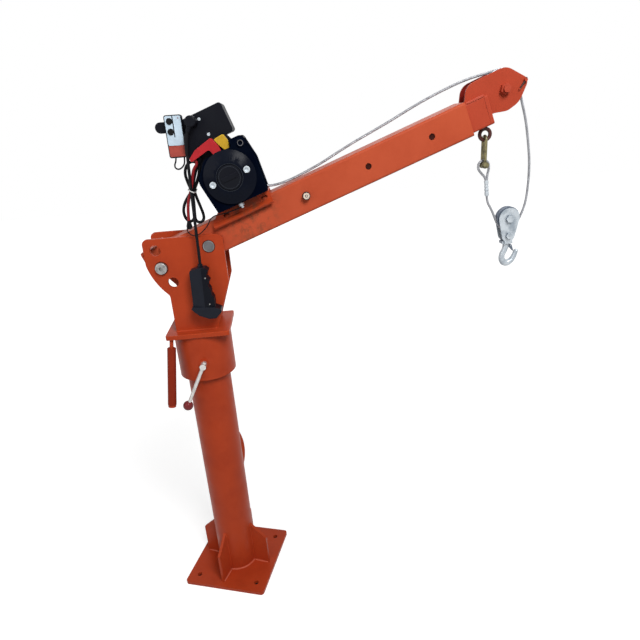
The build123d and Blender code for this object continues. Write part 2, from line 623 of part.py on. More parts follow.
def winding_path():
    """Turns of rope in the drum's last layer, as two arcs to each half turn, ending under the drum."""
    first = -(DRUM_HALF - DRUM_GAP - DRUM_FLANGE - ROPE_R - 0.3)

    def spot(half_turns):
        angle = -math.pi / 2 + math.pi * half_turns
        y = first + ROPE_PITCH * half_turns / 2
        place = Vector(WINCH_U + WIND_R * math.cos(angle), y, WINCH_V + WIND_R * math.sin(angle))
        slope = Vector(-WIND_R * math.sin(angle), ROPE_PITCH / (2 * math.pi), WIND_R * math.cos(angle))
        return place, slope.normalized()

    edges = []
    for k in range(2 * WIND_TURNS):
        (a, along_a), (b, along_b) = spot(k), spot(k + 1)
        span, both = b - a, along_a + along_b
        square = both.dot(both) - 4
        lean = span.dot(both)
        reach = (lean - math.sqrt(lean ** 2 - square * span.dot(span))) / square
        knee_a, knee_b = a + along_a * reach, b - along_b * reach
        middle = (knee_a + knee_b) * 0.5
        edges.append(TangentArc(a, middle, tangent=along_a))
        edges.append(TangentArc(middle, b, tangent=knee_b - knee_a))
    start, along = spot(0)
    stop, leave = spot(2 * WIND_TURNS)
    edges.insert(0, Line(start - along * ROPE_D, start))
    edges.append(Line(stop, stop + leave * ROPE_D))
    path = Wire(edges)
    print(f"rope_winding: {WIND_TURNS} turns, least gap to itself {self_gap(path, ROPE_D):.2f} mm")
    return path, stop + leave * ROPE_D, leave


def rope():
    """Drum winding, the run along the boom and the falls at the hook block."""
    path, off_drum, leave = winding_path()
    ring = Plane(origin=path @ 0, z_dir=path % 0) * Circle(ROPE_R)
    turns = sweep(ring, path=path)
    inner = DRUM_HALF - DRUM_GAP - DRUM_FLANGE
    layers = cross_rod(WINCH_U, WINCH_V, (-inner, inner), CORE_LAYER_R)
    layers -= cross_rod(WINCH_U, WINCH_V, (-inner, inner), DRUM_CORE_R)
    parts["rope_winding"] = AT_BOOM * Compound([layers, turns])
    su, sv = SHEAVE_UV
    lean = math.radians(FALL_LEAN - BOOM_ANGLE)
    off = Vector(su + HEAD_WRAP_R * math.cos(lean), 0, sv + HEAD_WRAP_R * math.sin(lean))
    off += Vector(math.sin(lean), 0, -math.cos(lean)) * ROPE_D
    crest = (744, 88.5)
    half = (touch(SHEAVE_UV, HEAD_WRAP_R, crest, -1) - lean) / 2
    out = HEAD_WRAP_R / math.cos(half)
    corner = (su + out * math.cos(lean + half), 0, sv + out * math.sin(lean + half))
    second = off_drum + leave * 16
    sag = [(170, 78), (196, 66.5), (238, 61), (284, 62.5), (334, 64.8), (374, 67.8), (424, 72), (478, 76.3),
           (522, 80.2), (560, 84.8), (607, 89.5), (660, 92), (706, 92), crest]
    route = [off_drum, second, *[(u, 0, v) for u, v in sag], corner, off]
    parts["rope_run"] = AT_BOOM * cord("rope_run", route, ROPE_D, {len(route) - 2: HEAD_WRAP_R})
    x, z = to_world(off.X, off.Z)
    drop = Vector(math.sin(math.radians(FALL_LEAN)), 0, -math.cos(math.radians(FALL_LEAN)))
    wheel = (BLOCK_X, BLOCK_Z)
    above, beside = (BLOCK_X + 45.5, BLOCK_Z + 24), (BLOCK_X - 43.8, BLOCK_Z + 26)
    into = touch(wheel, BLOCK_WRAP_R, above, -1)
    out = touch(wheel, BLOCK_WRAP_R, beside, 1) - 2 * math.pi
    ferrule_end = Vector(FERRULE_END[0], 0, FERRULE_END[1])
    down = (ferrule_end - Vector(FERRULE_TOP[0], 0, FERRULE_TOP[1])).normalized()
    route = [Vector(x, 0, z), Vector(x, 0, z) + drop * 30, (852.3, 0, 1258), (862, 0, 1208), (869.5, 0, 1160),
             (871, 0, 1108), (above[0], 0, above[1]), *wrap(wheel, BLOCK_WRAP_R, into, out),
             (beside[0], 0, beside[1]), ferrule_end + down * 16, ferrule_end]
    round_block = BLOCK_WRAP_R - 0.02
    parts["rope_falls"] = cord("rope_falls", route, ROPE_D, {7: round_block, 8: round_block})


def control_box():
    """Control box on the tie bars, its plug and the terminal boots."""
    box = block(BOX_U, BOX_Y, BOX_V)
    box = fillet(box.edges().filter_by(Axis.Y), BOX_CORNER)
    left, low = WINCH_U - TIE_BAR_OUT, WINCH_V + TIE_BAR_LOW + TIE_BAR_R
    right, high = WINCH_U + TIE_BAR_OUT, WINCH_V + TIE_BAR_UP + TIE_BAR_R
    seat, sheet = BOX_V[0], BRACKET_SHEET
    tab, lean = BRACKET_TAB, BRACKET_LEAN
    knee, inner = BRACKET_KNEE, right - 3 * tab
    strip = outline((left - tab, low, 0), (left + lean, low, 0), (knee + sheet, seat - sheet, 0),
                    (inner - sheet, seat - sheet, 0), (inner + tab - sheet, high, 0), (right + tab, high, 0),
                    (right + tab, high + sheet, 0), (inner + tab, high + sheet, 0), (inner, seat, 0),
                    (knee, seat, 0), (left + lean - sheet, low + sheet, 0), (left - tab, low + sheet, 0))
    parts["control_box"] = AT_BOOM * (box + plate(strip, (-BRACKET_HALF, BRACKET_HALF)))
    x, z = to_world(*PLUG_UV)
    y = BOX_Y[0] - PLUG_REACH
    plug = cross_rod(x, z, (y - PLUG_R * 0.7, BOX_Y[0]), PLUG_R)
    plug = fillet(plug.edges().sort_by(Axis.Y)[0], 4)
    for k, radius in enumerate((8.0, 6.6, 5.2)):
        plug += rod((x - PLUG_LEAN * k, y, z - PLUG_STEP * k),
                    (x - PLUG_LEAN * (k + 1), y, z - PLUG_STEP * (k + 1)), radius)
    parts["pendant_plug"] = plug
    shelf = WINCH_V + GEARBOX_SHELF
    red = outline((59, 195, 4), (79, 206.7, 12), (123, 216.4, 5), (131, 195, 5), (131.5, shelf, 0.8),
                  (112, shelf, 0.8), (108, 195.5, 6), (84, 191, 10), (58.6, 186.4, 4))
    parts["red_boot"] = AT_BOOM * plate(red, BOOT_Y)
    gold = outline((127, 210.4, 2.5), (151.5, 212.6, 4.5), (155, 196, 6), (151.5, shelf, 1), (140, shelf, 2),
                   (133.2, 193, 4))
    parts["yellow_boot"] = AT_BOOM * plate(gold, BOOT_Y)


def terminal(before, end):
    """Ring terminal in line with the last run of a lead."""
    end = Vector(*end)
    along = (end - Vector(*before)).normalized()
    barrel = rod(end, end + along * TERMINAL_BARREL, TERMINAL_R)
    eye = end + along * (TERMINAL_BARREL + TERMINAL_EYE - 2)
    flat = cross_rod(eye.X, eye.Z, (eye.Y - 1, eye.Y + 1), TERMINAL_EYE)
    return barrel + flat - cross_rod(eye.X, eye.Z, (eye.Y - 2, eye.Y + 2), TERMINAL_EYE / 2)


def leads():
    """Power leads in their tied hank, their ring terminals and the thin wire beside them."""
    u, exit_y = LEAD_EXIT
    hank = [(37, -28, 66), (23, -28.5, 41), (11, -29, 14), (3.7, -29.3, 0), (-6, -29.5, -17), (-18, -30, -34),
            (-26, -31, -48), (-28.5, -32, -61), (-23, -33, -72), (-13, -34.2, -74), (-6, -35.2, -66.5),
            (-3.4, -36, -51), (-2, -36.3, -26), (-3, -36.6, 0), (-9, -37, 20), (-12, -37.5, 38),
            (-7, -38, 54), (4, -38.5, 64), (17, -39, 64), (24.5, -39.5, 52), (20, -40, 33), (11, -40.5, 14),
            (3.7, -41, 0),
            (8, -41.5, -20), (13.5, -42, -40), (17.2, -42.5, -54), (18, -43, -67), (11.8, -43.7, -74.5),
            (3.2, -44.4, -74.7), (-2.6, -45.1, -68), (-2, -45.7, -55), (-0.5, -46.4, -36), (0.5, -46.9, -18),
            (0.5, -47.4, 0), (7, -47.5, 21), (15, -47.5, 41), (20, -47.5, 54)]
    black = [(x, exit_y, z) for x, z in (to_world(u, BOX_V[0]), to_world(u, BOX_V[0] - 2 * LEAD_D))]
    black += [(TIE_X + x, y, TIE_Z + z) for x, y, z in hank]
    parts["black_lead"] = cord("black_lead", black, LEAD_D, looped=True)
    u, v = RED_EXIT
    front = -54.4
    red = [(x, -60, z) for x, z in (to_world(u, v), to_world(u + 1.6, v - 8.85))]
    red += [(52.5, -58.5, 1200), (43, -56, 1183), (35, front, 1157), (27.5, front, 1141), (21, front, 1115),
            (19.6, front, 1090)]
    parts["red_lead"] = cord("red_lead", red, LEAD_D)
    parts["lead_terminals"] = Compound([terminal(*black[-2:]), terminal(*red[-2:])])
    x = (TIE_X - 7.4, TIE_X + 8.8)
    y = (front - LEAD_D / 2 - 0.6, -29.3 + LEAD_D / 2 + 0.6)
    z = (TIE_Z - 2, TIE_Z + 2)
    wall = TIE_WALL
    band = block((x[0] - wall, x[1] + wall), (y[0] - wall, y[1] + wall), z)
    parts["lead_tie"] = band - block(x, y, z)
    u, y = STUD_SPOT
    wire = [(u - STUD_R, y, SADDLE_TOP - 9.5), (102, -68, 52.8), (80, -68, 54.5), (64, -67, 57.5),
            (50, -63, 60.5), (36, -59, 57), (25, -58, 47), (9, -59, 39.5), (-6, -60, 35), (-20, -60.5, 39),
            (-26, -61, 52), (-22.5, -60.5, 63), (-14.5, -58.9, 69.2)]
    parts["signal_wire"] = AT_BOOM * cord("signal_wire", wire, WIRE_D)


def remote():
    """Wireless remote on its holder, with two buttons and a strap."""
    half = HOLDER_R
    front = (BOX_Y[0], BOX_Y[0] + HOLDER_THICK)
    span = REMOTE_X - HOLDER_X
    arm = Pos(HOLDER_X + span / 2, HOLDER_Z) * Rectangle(span, 2 * half)
    arm += Pos(HOLDER_X, HOLDER_Z) * Circle(half)
    parts["remote_holder"] = plate(arm, front) - parts["control_box"]
    back = BOX_Y[0]
    face = back - REMOTE_SIZE[1]
    body = Pos(REMOTE_X, 0, REMOTE_Z) * plate(RectangleRounded(REMOTE_SIZE[0], REMOTE_SIZE[2], REMOTE_CORNER),
                                              (face, back))
    body = fillet(body.faces().sort_by(Axis.Y)[0].edges(), 2)
    for name, z in zip(("button_in", "button_out"), BUTTONS_Z):
        well = BUTTON_RISE + BUTTON_TRAVEL + 1
        body -= cross_rod(BUTTON_X, z, (face, face + well), BUTTON_R + BUTTON_GAP)
        cap = cross_rod(BUTTON_X, z, (face - BUTTON_RISE, face + well - BUTTON_TRAVEL - BUTTON_GAP), BUTTON_R)
        parts[name] = fillet(cap.edges().sort_by(Axis.Y)[0], 1)
    parts["remote_body"] = body
    y = face + STRAP_INSET
    base = REMOTE_Z - REMOTE_SIZE[2] / 2
    loop = [(-6.5, 0), (-6.5, 7), (-7.2, 14.5), (-4, 22), (3, 25.5), (10, 22), (13, 14), (12.5, 7), (12.5, 0)]
    strap = [(REMOTE_X + x, y, base - drop) for x, drop in loop]
    parts["remote_strap"] = cord("remote_strap", strap, STRAP_D)


def handset():
    """Pendant handset on its cable, with a rocker on its back."""
    y = (HANDSET_Y - HANDSET_THICK / 2, HANDSET_Y + HANDSET_THICK / 2)
    grip = outline((6, 974.5, 7), (28, 981, 8), (45, 979.5, 4), (52, 972.5, 2.5), (45.5, 965, 3),
                   (45.3, 956, 4), (51.6, 947.4, 4), (45.2, 935.5, 4), (50.5, 926, 4), (51, 912, 4),
                   (55.8, 904, 5), (55.6, 870, 0), (2.2, 870, 0))
    flare = outline((55.6, 880, 3), (69.5, 873.5, 3), (69.5, 866.5, 3), (55, 852, 7), (37.5, 852, 8),
                    (15.5, 862, 6), (4.5, 872.5, 4), (-2.5, 881, 2), (2.2, 885, 2))
    body = chamfer(plate(grip, y).faces().sort_by(Axis.Y)[0].edges(), 1.5)
    (low_x, low_z), (high_x, high_z) = HANDSET_RIDGE
    ridge = Vector(high_x - low_x, 0, high_z - low_z)
    across = Plane(origin=Vector(low_x, y[0], low_z) - ridge, x_dir=(ridge.Z, 0, -ridge.X), z_dir=ridge)
    wide, deep = HANDSET_THICK * 2, HANDSET_THICK * 2 * HANDSET_SLOPE
    for side in (-1, 1):
        wedge = make_face(Polyline((0, 0), (side * wide, 0), (side * wide, deep), close=True))
        body -= extrude(across * wedge, amount=3 * ridge.length)
    skirt = plate(flare, (y[0] - HANDSET_FLARE, y[1] + HANDSET_FLARE))
    body += chamfer(skirt.faces().sort_by(Axis.Y)[0].edges(), 1)
    w, t, h = ROCKER_SIZE
    mid_x, mid_z = 24.0, 940.0
    well = block((mid_x - w / 2 - 1, mid_x + w / 2 + 1), (y[1] - t - 1, y[1]),
                 (mid_z - h / 2 - 1, mid_z + h / 2 + 1))
    body -= well
    axle = rod((mid_x - w / 2 - 3, y[1] - 3, mid_z), (mid_x + w / 2 + 3, y[1] - 3, mid_z), 1.5)
    body -= rod((mid_x - w / 2 - 3, y[1] - 3, mid_z), (mid_x + w / 2 + 3, y[1] - 3, mid_z), 1.5 + RUN_GAP)
    rocker = make_face(Polyline((y[1] - 5, mid_z - 6), (y[1] + 1.5, mid_z - h / 2), (y[1] - 0.5, mid_z),
                                (y[1] + 1.5, mid_z + h / 2), (y[1] - 5, mid_z + 6), close=True))
    key = extrude(Plane(origin=(mid_x - w / 2, 0, 0), x_dir=(0, 1, 0), z_dir=(1, 0, 0)) * rocker, amount=w)
    parts["handset_rocker"] = key + axle
    neck_top = Vector(NECK_TOP[0], HANDSET_Y, NECK_TOP[1])
    neck_along = Vector(1, 0, 20).normalized()
    neck = rod(neck_top - neck_along * 20, neck_top, 6)
    body += neck
    parts["handset_body"] = body
    x, z = to_world(*PLUG_UV)
    plug_y = BOX_Y[0] - PLUG_REACH
    start = Vector(x - 3 * PLUG_LEAN, plug_y, z - 3 * PLUG_STEP)
    route = [start, start - Vector(PLUG_LEAN, 0, PLUG_STEP) * 1.6, (39.5, -65, 1228), (35.8, -72.5, 1092),
             neck_top + neck_along * 18, neck_top]
    parts["handset_cable"] = cord("handset_cable", route, CABLE_D)


def sheave(rim, groove, width, hub_half, bore):
    """Grooved wheel profile as (radius, y) corners."""
    half = width / 2
    return [(bore, -hub_half), (bore + 7, -hub_half), (bore + 7, -half * 0.5), (groove - 5, -half * 0.5),
            (groove - 5, -half), (rim, -half), (rim, -half + 2), (groove + 1, -ROPE_R - ROPE_GAP),
            (groove, -1.6), (groove, 1.6), (groove + 1, ROPE_R + ROPE_GAP), (rim, half - 2), (rim, half),
            (groove - 5, half), (groove - 5, half * 0.5), (bore + 7, half * 0.5), (bore + 7, hub_half),
            (bore, hub_half)]


def boom_head():
    """Extension tube with its head cheeks, sheave, pins, ring and shackle."""
    tube = square_tube(EXT_SIZE, EXT_WALL, 5, (EXT_TAIL, EXT_END), BOOM_RISE)
    cap = EXT_SIZE - 2 * EXT_WALL
    tube += Pos(EXT_END - EXT_CAP / 2, 0, BOOM_RISE) * Box(EXT_CAP, cap + 2, cap + 2)
    tube -= cross_rod(LOCK_BOLT_U, BOOM_RISE, (-BOOM_HALF, BOOM_HALF), LOCK_BOLT / 2 + BOLT_GAP)
    slot = LOCK_BOLT / 2 + BOLT_GAP
    tube -= block((EXT_TAIL, LOCK_BOLT_U), (-BOOM_HALF, BOOM_HALF), (BOOM_RISE - slot, BOOM_RISE + slot))
    parts["extension_tube"] = AT_BOOM * tube
    su, sv = SHEAVE_UV
    side = outline((EXT_END - 51.5, EXT_TOP, 0), (EXT_END - 34.5, 80.3, 30), (su + 17.4, 82.8, 35),
                   (su + 61.3, 34.1, 16), (su + 25, -5.2, 45), (su - 7, -12, 30), (EXT_END + 10, -4.1, 6),
                   (EXT_END, -4.1, 0), (EXT_END, EXT_TOP, 0))
    side -= Pos(su, sv) * Circle(SHEAVE_BOLT / 2 + RUN_GAP)
    spot = math.radians(KEEPER_AZIMUTH - BOOM_ANGLE)
    keep_r = HEAD_WRAP_R + ROPE_R + KEEPER_D / 2 + ROPE_GAP
    ku, kv = su + keep_r * math.cos(spot), sv + keep_r * math.sin(spot)
    side += Pos(ku, kv) * Circle(KEEPER_D)
    side -= Pos(ku, kv) * Circle(KEEPER_D / 2 + RUN_GAP)
    inner, outer = HEAD_CHEEK_HALF, HEAD_CHEEK_HALF + HEAD_CHEEK_THICK
    parts["head_cheeks"] = AT_BOOM * Compound([plate(side, (-outer, -inner)), plate(side, (inner, outer))])
    nut_y = (-outer - SHEAVE_NUT_HEIGHT, -outer)
    bolt = cross_rod(su, sv, (nut_y[0] - SHEAVE_BOLT_SPARE, outer), SHEAVE_BOLT / 2)
    bolt += hex_rod(su, sv, (outer, outer + SHEAVE_NUT_HEIGHT), SHEAVE_NUT)
    nut = hex_rod(su, sv, nut_y, SHEAVE_NUT) - cross_rod(su, sv, nut_y, SHEAVE_BOLT / 2)
    pin = cross_rod(ku, kv, (-outer - 8, outer + 4), KEEPER_D / 2)
    pin += cross_rod(ku, kv, (outer, outer + 4), KEEPER_D * 0.8)
    split_y = -outer - 4
    ends = (ku + 4, split_y, kv + 3), (ku - 20, split_y, kv - 14)
    split = rod(*ends, 1.6)
    pin -= rod(*ends, 1.6 + RUN_GAP)
    parts["head_pins"] = AT_BOOM * Compound([bolt, nut, pin, split])
    wheel = sheave(SHEAVE_RIM_R, SHEAVE_GROOVE_R, SHEAVE_WIDTH, inner - FACE_GAP, SHEAVE_BOLT / 2 + RUN_GAP)
    parts["head_sheave"] = AT_BOOM * revolve_y(wheel, su, sv)
    ring = Pos(RING_U, 0, EXT_BOTTOM - RING_DROP) * Rot(90, 0, 0) * Torus(RING_R, RING_ROD / 2)
    ring += rod((RING_U, 0, EXT_BOTTOM - RING_DROP + RING_R), (RING_U, 0, EXT_BOTTOM), RING_PAD_R)
    parts["anchor_ring"] = AT_BOOM * ring
    x, z = to_world(RING_U, EXT_BOTTOM - RING_DROP)
    shackle_and_eye(x, z - (RING_R - RING_ROD / 2) + SHACKLE_ROD / 2 + 0.1)


def shackle_and_eye(x, z):
    """Shackle through the anchor ring, and the rope's eye on its bolt."""
    r = SHACKLE_ROD / 2
    half = SHACKLE_HALF
    low = z - SHACKLE_DROP
    bow = Pos(x, 0, z - half) * Rot(0, 90, 0) * Torus(half, r)
    bow -= block((x - 20, x + 20), (-40, 40), (z - 60, z - half))
    for side in (-1, 1):
        bow += rod((x, side * half, z - half), (x, side * half, low), r)
        bow += cross_rod(x, low, sorted((side * (half - r), side * (half + r))), SHACKLE_BOLT)
    bow -= cross_rod(x, low, (-20, 20), SHACKLE_BOLT / 2 + RUN_GAP)
    edge = half + r
    bolt = cross_rod(x, low, (-edge, edge + 8), SHACKLE_BOLT / 2) + hex_rod(x, low, (-edge - 6, -edge), 13)
    nut = hex_rod(x, low, (edge, edge + 6), 13) - cross_rod(x, low, (edge, edge + 6), SHACKLE_BOLT / 2)
    parts["shackle"] = Compound([bow, bolt, nut])
    eye_z = low + SHACKLE_BOLT / 2 + 0.1 - EYE_BORE_R
    tail = Pos(*FERRULE_TOP) * Circle(FERRULE_R)
    ring = make_hull((Pos(x, eye_z) * Circle(EYE_R)).edges() + tail.edges())
    hole = make_hull((Pos(x, eye_z) * Circle(EYE_BORE_R)).edges()
                     + (Pos(FERRULE_TOP[0] - 1, FERRULE_TOP[1] + 11) * Circle(1)).edges())
    eye = plate(ring - hole, (-EYE_THICK / 2, EYE_THICK / 2))
    ferrule = rod((FERRULE_TOP[0], 0, FERRULE_TOP[1]), (FERRULE_END[0], 0, FERRULE_END[1]), FERRULE_R)
    parts["rope_eye"] = eye + ferrule


def hook_block():
    """Block cheeks, bolts, sheave, hook and latch."""
    low = BLOCK_Z - BLOCK_LOW_DROP
    side = make_hull((Pos(BLOCK_X, BLOCK_Z) * Circle(BLOCK_CHEEK_R)).edges()
                     + (Pos(BLOCK_X, low) * Circle(BLOCK_FOOT_R)).edges())
    side -= Pos(BLOCK_X, BLOCK_Z) * Circle(BLOCK_BOLT / 2)
    side -= Pos(BLOCK_X, low) * Circle(BLOCK_LOW_BOLT / 2)
    inner, outer = BLOCK_HALF, BLOCK_HALF + BLOCK_CHEEK_THICK
    foot_z = low - BLOCK_FOOT_R - YOKE_DROP
    pads = [plate(side, (-outer, -inner)), plate(side, (inner, outer))]
    for pad in range(2):
        y = (-outer, -inner) if pad == 0 else (inner, outer)
        pads[pad] += block((BLOCK_X - 9, BLOCK_X + 9), y, (foot_z, low))
        pads[pad] -= cross_rod(BLOCK_X, low, y, BLOCK_LOW_BOLT / 2)
    yoke = block((BLOCK_X - SWIVEL_PLATE[0] / 2, BLOCK_X + SWIVEL_PLATE[0] / 2), (-inner, inner),
                 (foot_z, foot_z + SWIVEL_PLATE[1]))
    yoke -= rod((BLOCK_X, 0, foot_z), (BLOCK_X, 0, foot_z + SWIVEL_PLATE[1]), HOOK_SHANK / 2 + RUN_GAP)
    bolts = []
    for z, size in ((BLOCK_Z, BLOCK_BOLT), (low, BLOCK_LOW_BOLT)):
        bolt = cross_rod(BLOCK_X, z, (-outer, outer), size / 2)
        bolt += hex_rod(BLOCK_X, z, (-outer - 7, -outer), size * 1.5)
        bolts.append(bolt + hex_rod(BLOCK_X, z, (outer, outer + 8), size * 1.5))
    parts["block_cheeks"] = Compound(pads + [yoke] + bolts)
    wheel = sheave(BLOCK_RIM_R, BLOCK_GROOVE_R, BLOCK_SHEAVE_WIDTH, inner - FACE_GAP,
                   BLOCK_BOLT / 2 + RUN_GAP)
    parts["block_sheave"] = revolve_y(wheel, BLOCK_X, BLOCK_Z)
    top = foot_z + SWIVEL_PLATE[1] + FACE_GAP
    shank = rod((BLOCK_X, 0, foot_z - 8), (BLOCK_X, 0, top), HOOK_SHANK / 2)
    shank += extrude(Pos(BLOCK_X, 0, top) * RegularPolygon(8.6, 6), amount=5)
    shank += rod((BLOCK_X, 0, foot_z - 6), (BLOCK_X, 0, foot_z - FACE_GAP), 8)
    hook_and_latch(shank, foot_z)


def hook_and_latch(shank, foot_z):
    """Hook bent from a round bar, with an ear and a pin that carry its sprung latch."""
    bend = [(0, -8), (-2, -18), (-8.5, -30), (-9.5, -42), (-4, -52), (5, -55), (17, -49), (24.5, -38),
            (29, -24)]
    path = [(BLOCK_X + x, 0, foot_z + z) for x, z in bend]
    bar = cord("hook", path, HOOK_BAR)
    tip, heel = Pos(*path[-1]) * Sphere(HOOK_BAR / 2), Pos(*path[0]) * Sphere(HOOK_BAR / 2 - 0.5)
    hinge = (BLOCK_X + LATCH_HINGE[0], foot_z + LATCH_HINGE[1])
    reach = (BLOCK_X + LATCH_REACH[0], foot_z + LATCH_REACH[1])
    eye, ear_y = LATCH_EYE_R, LATCH_EAR
    ear = make_hull((Pos(*hinge) * Circle(eye)).edges() + (Pos(BLOCK_X, hinge[1] - 2) * Circle(eye)).edges())
    side_y = ear_y + LATCH_GAP
    edge = side_y + LATCH_PLATE
    pin = cross_rod(*hinge, (-edge - 1.5, edge + 1.5), LATCH_PIN_R)
    parts["hook"] = shank + bar + tip + heel + plate(ear, (-ear_y, ear_y)) + pin
    along = Vector(reach[0] - hinge[0], 0, reach[1] - hinge[1])
    start = Plane(origin=(hinge[0], 0, hinge[1]), x_dir=along, z_dir=(-along.Z, 0, along.X))
    clear = eye + 3 * LATCH_GAP
    blade = Box(along.length - clear, 2 * edge, LATCH_THICK, align=(Align.MIN, Align.CENTER, Align.CENTER))
    latch = start * Pos(clear, 0, 0) * blade
    flange = make_hull((Pos(*hinge) * Circle(eye)).edges() + (Pos(*reach) * Circle(LATCH_THICK / 2)).edges())
    flange -= Pos(*hinge) * Circle(LATCH_PIN_R + RUN_GAP)
    latch += plate(flange, (-edge, -side_y))
    parts["hook_latch"] = latch + plate(flange, (side_y, edge))


foot()
slewing_head()
turn_handle()
clamp()
boom()
winch()
rope()
control_box()
leads()
remote()
handset()
boom_head()
hook_block()
os.makedirs("parts", exist_ok=True)
for name, shape in parts.items():
    export_step(shape, f"parts/{name}.step")
print(len(parts), "nodes")
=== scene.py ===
"""Pickup truck crane: finishes, cords, ropes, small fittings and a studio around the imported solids."""
import json
import math

import bmesh
import bpy
from bpy.props import FloatProperty, FloatVectorProperty, IntProperty, PointerProperty
from mathutils import Matrix, Vector


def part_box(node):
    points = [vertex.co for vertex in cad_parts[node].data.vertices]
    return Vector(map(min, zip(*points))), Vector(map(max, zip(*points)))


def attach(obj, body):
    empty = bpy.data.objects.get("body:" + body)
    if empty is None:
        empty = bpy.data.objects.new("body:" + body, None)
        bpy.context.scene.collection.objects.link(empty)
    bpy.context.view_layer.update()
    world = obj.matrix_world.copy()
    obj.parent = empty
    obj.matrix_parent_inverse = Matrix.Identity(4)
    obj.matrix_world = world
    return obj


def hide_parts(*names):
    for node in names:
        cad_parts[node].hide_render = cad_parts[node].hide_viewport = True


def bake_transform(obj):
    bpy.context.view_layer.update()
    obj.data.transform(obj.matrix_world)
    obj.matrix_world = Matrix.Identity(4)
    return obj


bl_info = {
    "name": "Pickup Truck Crane",
    "version": (1, 0, 0),
    "blender": (4, 5, 0),
    "location": "3D View > Sidebar > Crane",
    "description": "Dresses a column crane with a telescopic boom, a rope winch and a hook block",
    "category": "Object",
}

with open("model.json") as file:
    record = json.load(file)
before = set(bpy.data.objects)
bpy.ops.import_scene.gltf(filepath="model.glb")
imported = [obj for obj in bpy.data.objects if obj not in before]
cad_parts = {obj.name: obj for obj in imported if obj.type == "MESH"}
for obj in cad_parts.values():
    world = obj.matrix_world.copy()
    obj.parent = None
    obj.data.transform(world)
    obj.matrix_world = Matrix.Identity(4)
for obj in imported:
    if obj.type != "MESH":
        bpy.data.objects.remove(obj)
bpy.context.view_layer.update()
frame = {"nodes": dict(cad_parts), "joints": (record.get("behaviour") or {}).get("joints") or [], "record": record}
JOINTS = {joint["name"]: joint for joint in frame["joints"]}
BODIES = {node: body for body, nodes in frame["record"]["behaviour"]["bodies"].items() for node in nodes}

MM = 0.001
FULL_TURN = 2 * math.pi
FRONT = (0, -1, 0)
PIVOT = Vector(JOINTS["luff"]["pos_m"])
BOOM_AXIS = Vector(JOINTS["extension_slide"]["axis"])
BOOM_ANGLE = math.atan2(BOOM_AXIS.z, BOOM_AXIS.x)
BOOM = Matrix.Translation(PIVOT) @ Matrix.Rotation(-BOOM_ANGLE, 4, "Y")
DRUM = Vector(JOINTS["drum_spin"]["pos_m"])
DIAL = Vector(JOINTS["clutch_turn"]["pos_m"])


def colour(name, text, value):
    """Colour that a user may change."""
    return FloatVectorProperty(name=name, description=text, subtype="COLOR", size=3, min=0, max=1,
                               default=value)


def length(name, text, value):
    """Length in metres that a user may change."""
    return FloatProperty(name=name, description=text, unit="LENGTH", default=value)


class CraneColours(bpy.types.PropertyGroup):
    """Colours of the crane's finishes"""

    enamel: colour("Enamel", "Orange enamel on the column and the head", (0.44, 0.052, 0.014))
    enamel_shade: colour("Enamel shade", "Darker patches in that enamel", (0.31, 0.032, 0.009))
    # Painted light: the boom's enamel is a paler copy of the column's, for the stronger light up high
    boom: colour("Boom enamel", "Orange enamel on the boom, paler as painted light", (0.5, 0.085, 0.036))
    boom_shade: colour("Boom shade", "Darker patches in that enamel", (0.4, 0.056, 0.022))
    # Painted light and shade: the head's enamel, also on its bolt and welds, is paler than the column's and darker
    # than the boom's
    head: colour("Boom head enamel", "Orange enamel on the extension and its head, as painted light and shade", (0.44, 0.062, 0.03))
    head_shade: colour("Boom head shade", "Darker patches in that enamel", (0.35, 0.045, 0.02))
    # Painted highlight: the pale enamel on the foot's welds stands for the light on the beads
    weld: colour("Weld enamel", "Enamel on the foot's welds, paler as painted highlight", (0.56, 0.13, 0.075))
    primer: colour("Primer", "What shows where the enamel is chipped", (0.12, 0.05, 0.035))
    # Soil colour, laid both as dried soil and as painted shade under the winch
    soil_and_shade: colour("Soil", "Dried soil, also laid as painted shade under the winch", (0.11, 0.055, 0.03))
    black: colour("Black", "Winch enamel", (0.0012, 0.0025, 0.008))
    plastic: colour("Plastic", "Black mouldings", (0.003, 0.0035, 0.007))
    zinc: colour("Zinc", "Bright plating", (0.6, 0.65, 0.69))
    gold: colour("Yellow zinc", "Passivated plating on the shackle", (0.24, 0.21, 0.1))
    rope: colour("Rope", "Galvanised rope", (0.46, 0.47, 0.5))
    red: colour("Red", "Red boot", (0.45, 0.018, 0.024))
    yellow: colour("Yellow", "Yellow boot", (0.55, 0.33, 0.022))
    face: colour("Remote face", "Pale face of the remote", (0.58, 0.71, 0.82))
    panel: colour("Remote panel", "Orange panel of the remote", (0.4, 0.07, 0.05))


class CraneSizes(bpy.types.PropertyGroup):
    """Sizes of the crane's fine detail"""

    ease: length("Edge ease", "Rounding of the plates' edges", 0.0012)
    bead: length("Weld bead", "Radius of the weld beads", 0.0034)
    rope: length("Rope", "Diameter of the rope", 0.0062)
    lay: length("Rope lay", "Length of one turn of a strand", 0.036)
    strands: IntProperty(name="Strands", description="Strands in the rope", default=6, min=3)
    lead: length("Lead", "Diameter of the power leads", 0.007)
    cable: length("Cable", "Diameter of the handset's cable", 0.007)
    wire: length("Wire", "Diameter of the thin wire", 0.0025)
    strap: length("Strap", "Diameter of the remote's strap", 0.0035)


class CraneStage(bpy.types.PropertyGroup):
    """Camera and light"""

    camera: FloatVectorProperty(name="Camera", description="Camera's place", subtype="TRANSLATION", size=3,
                                default=(0.23859, -1.27805, 1.27349))
    lens: FloatProperty(name="Lens", description="Focal length", unit="CAMERA", default=28.44)
    key: FloatProperty(name="Key", description="Power of the key light", unit="POWER", default=56.0)
    sky: FloatProperty(name="Sky", description="Strength of the soft light all round", default=0.18, min=0)


# Finish, edge rounding in millimetres and nodes of each family, where None is the user's edge ease

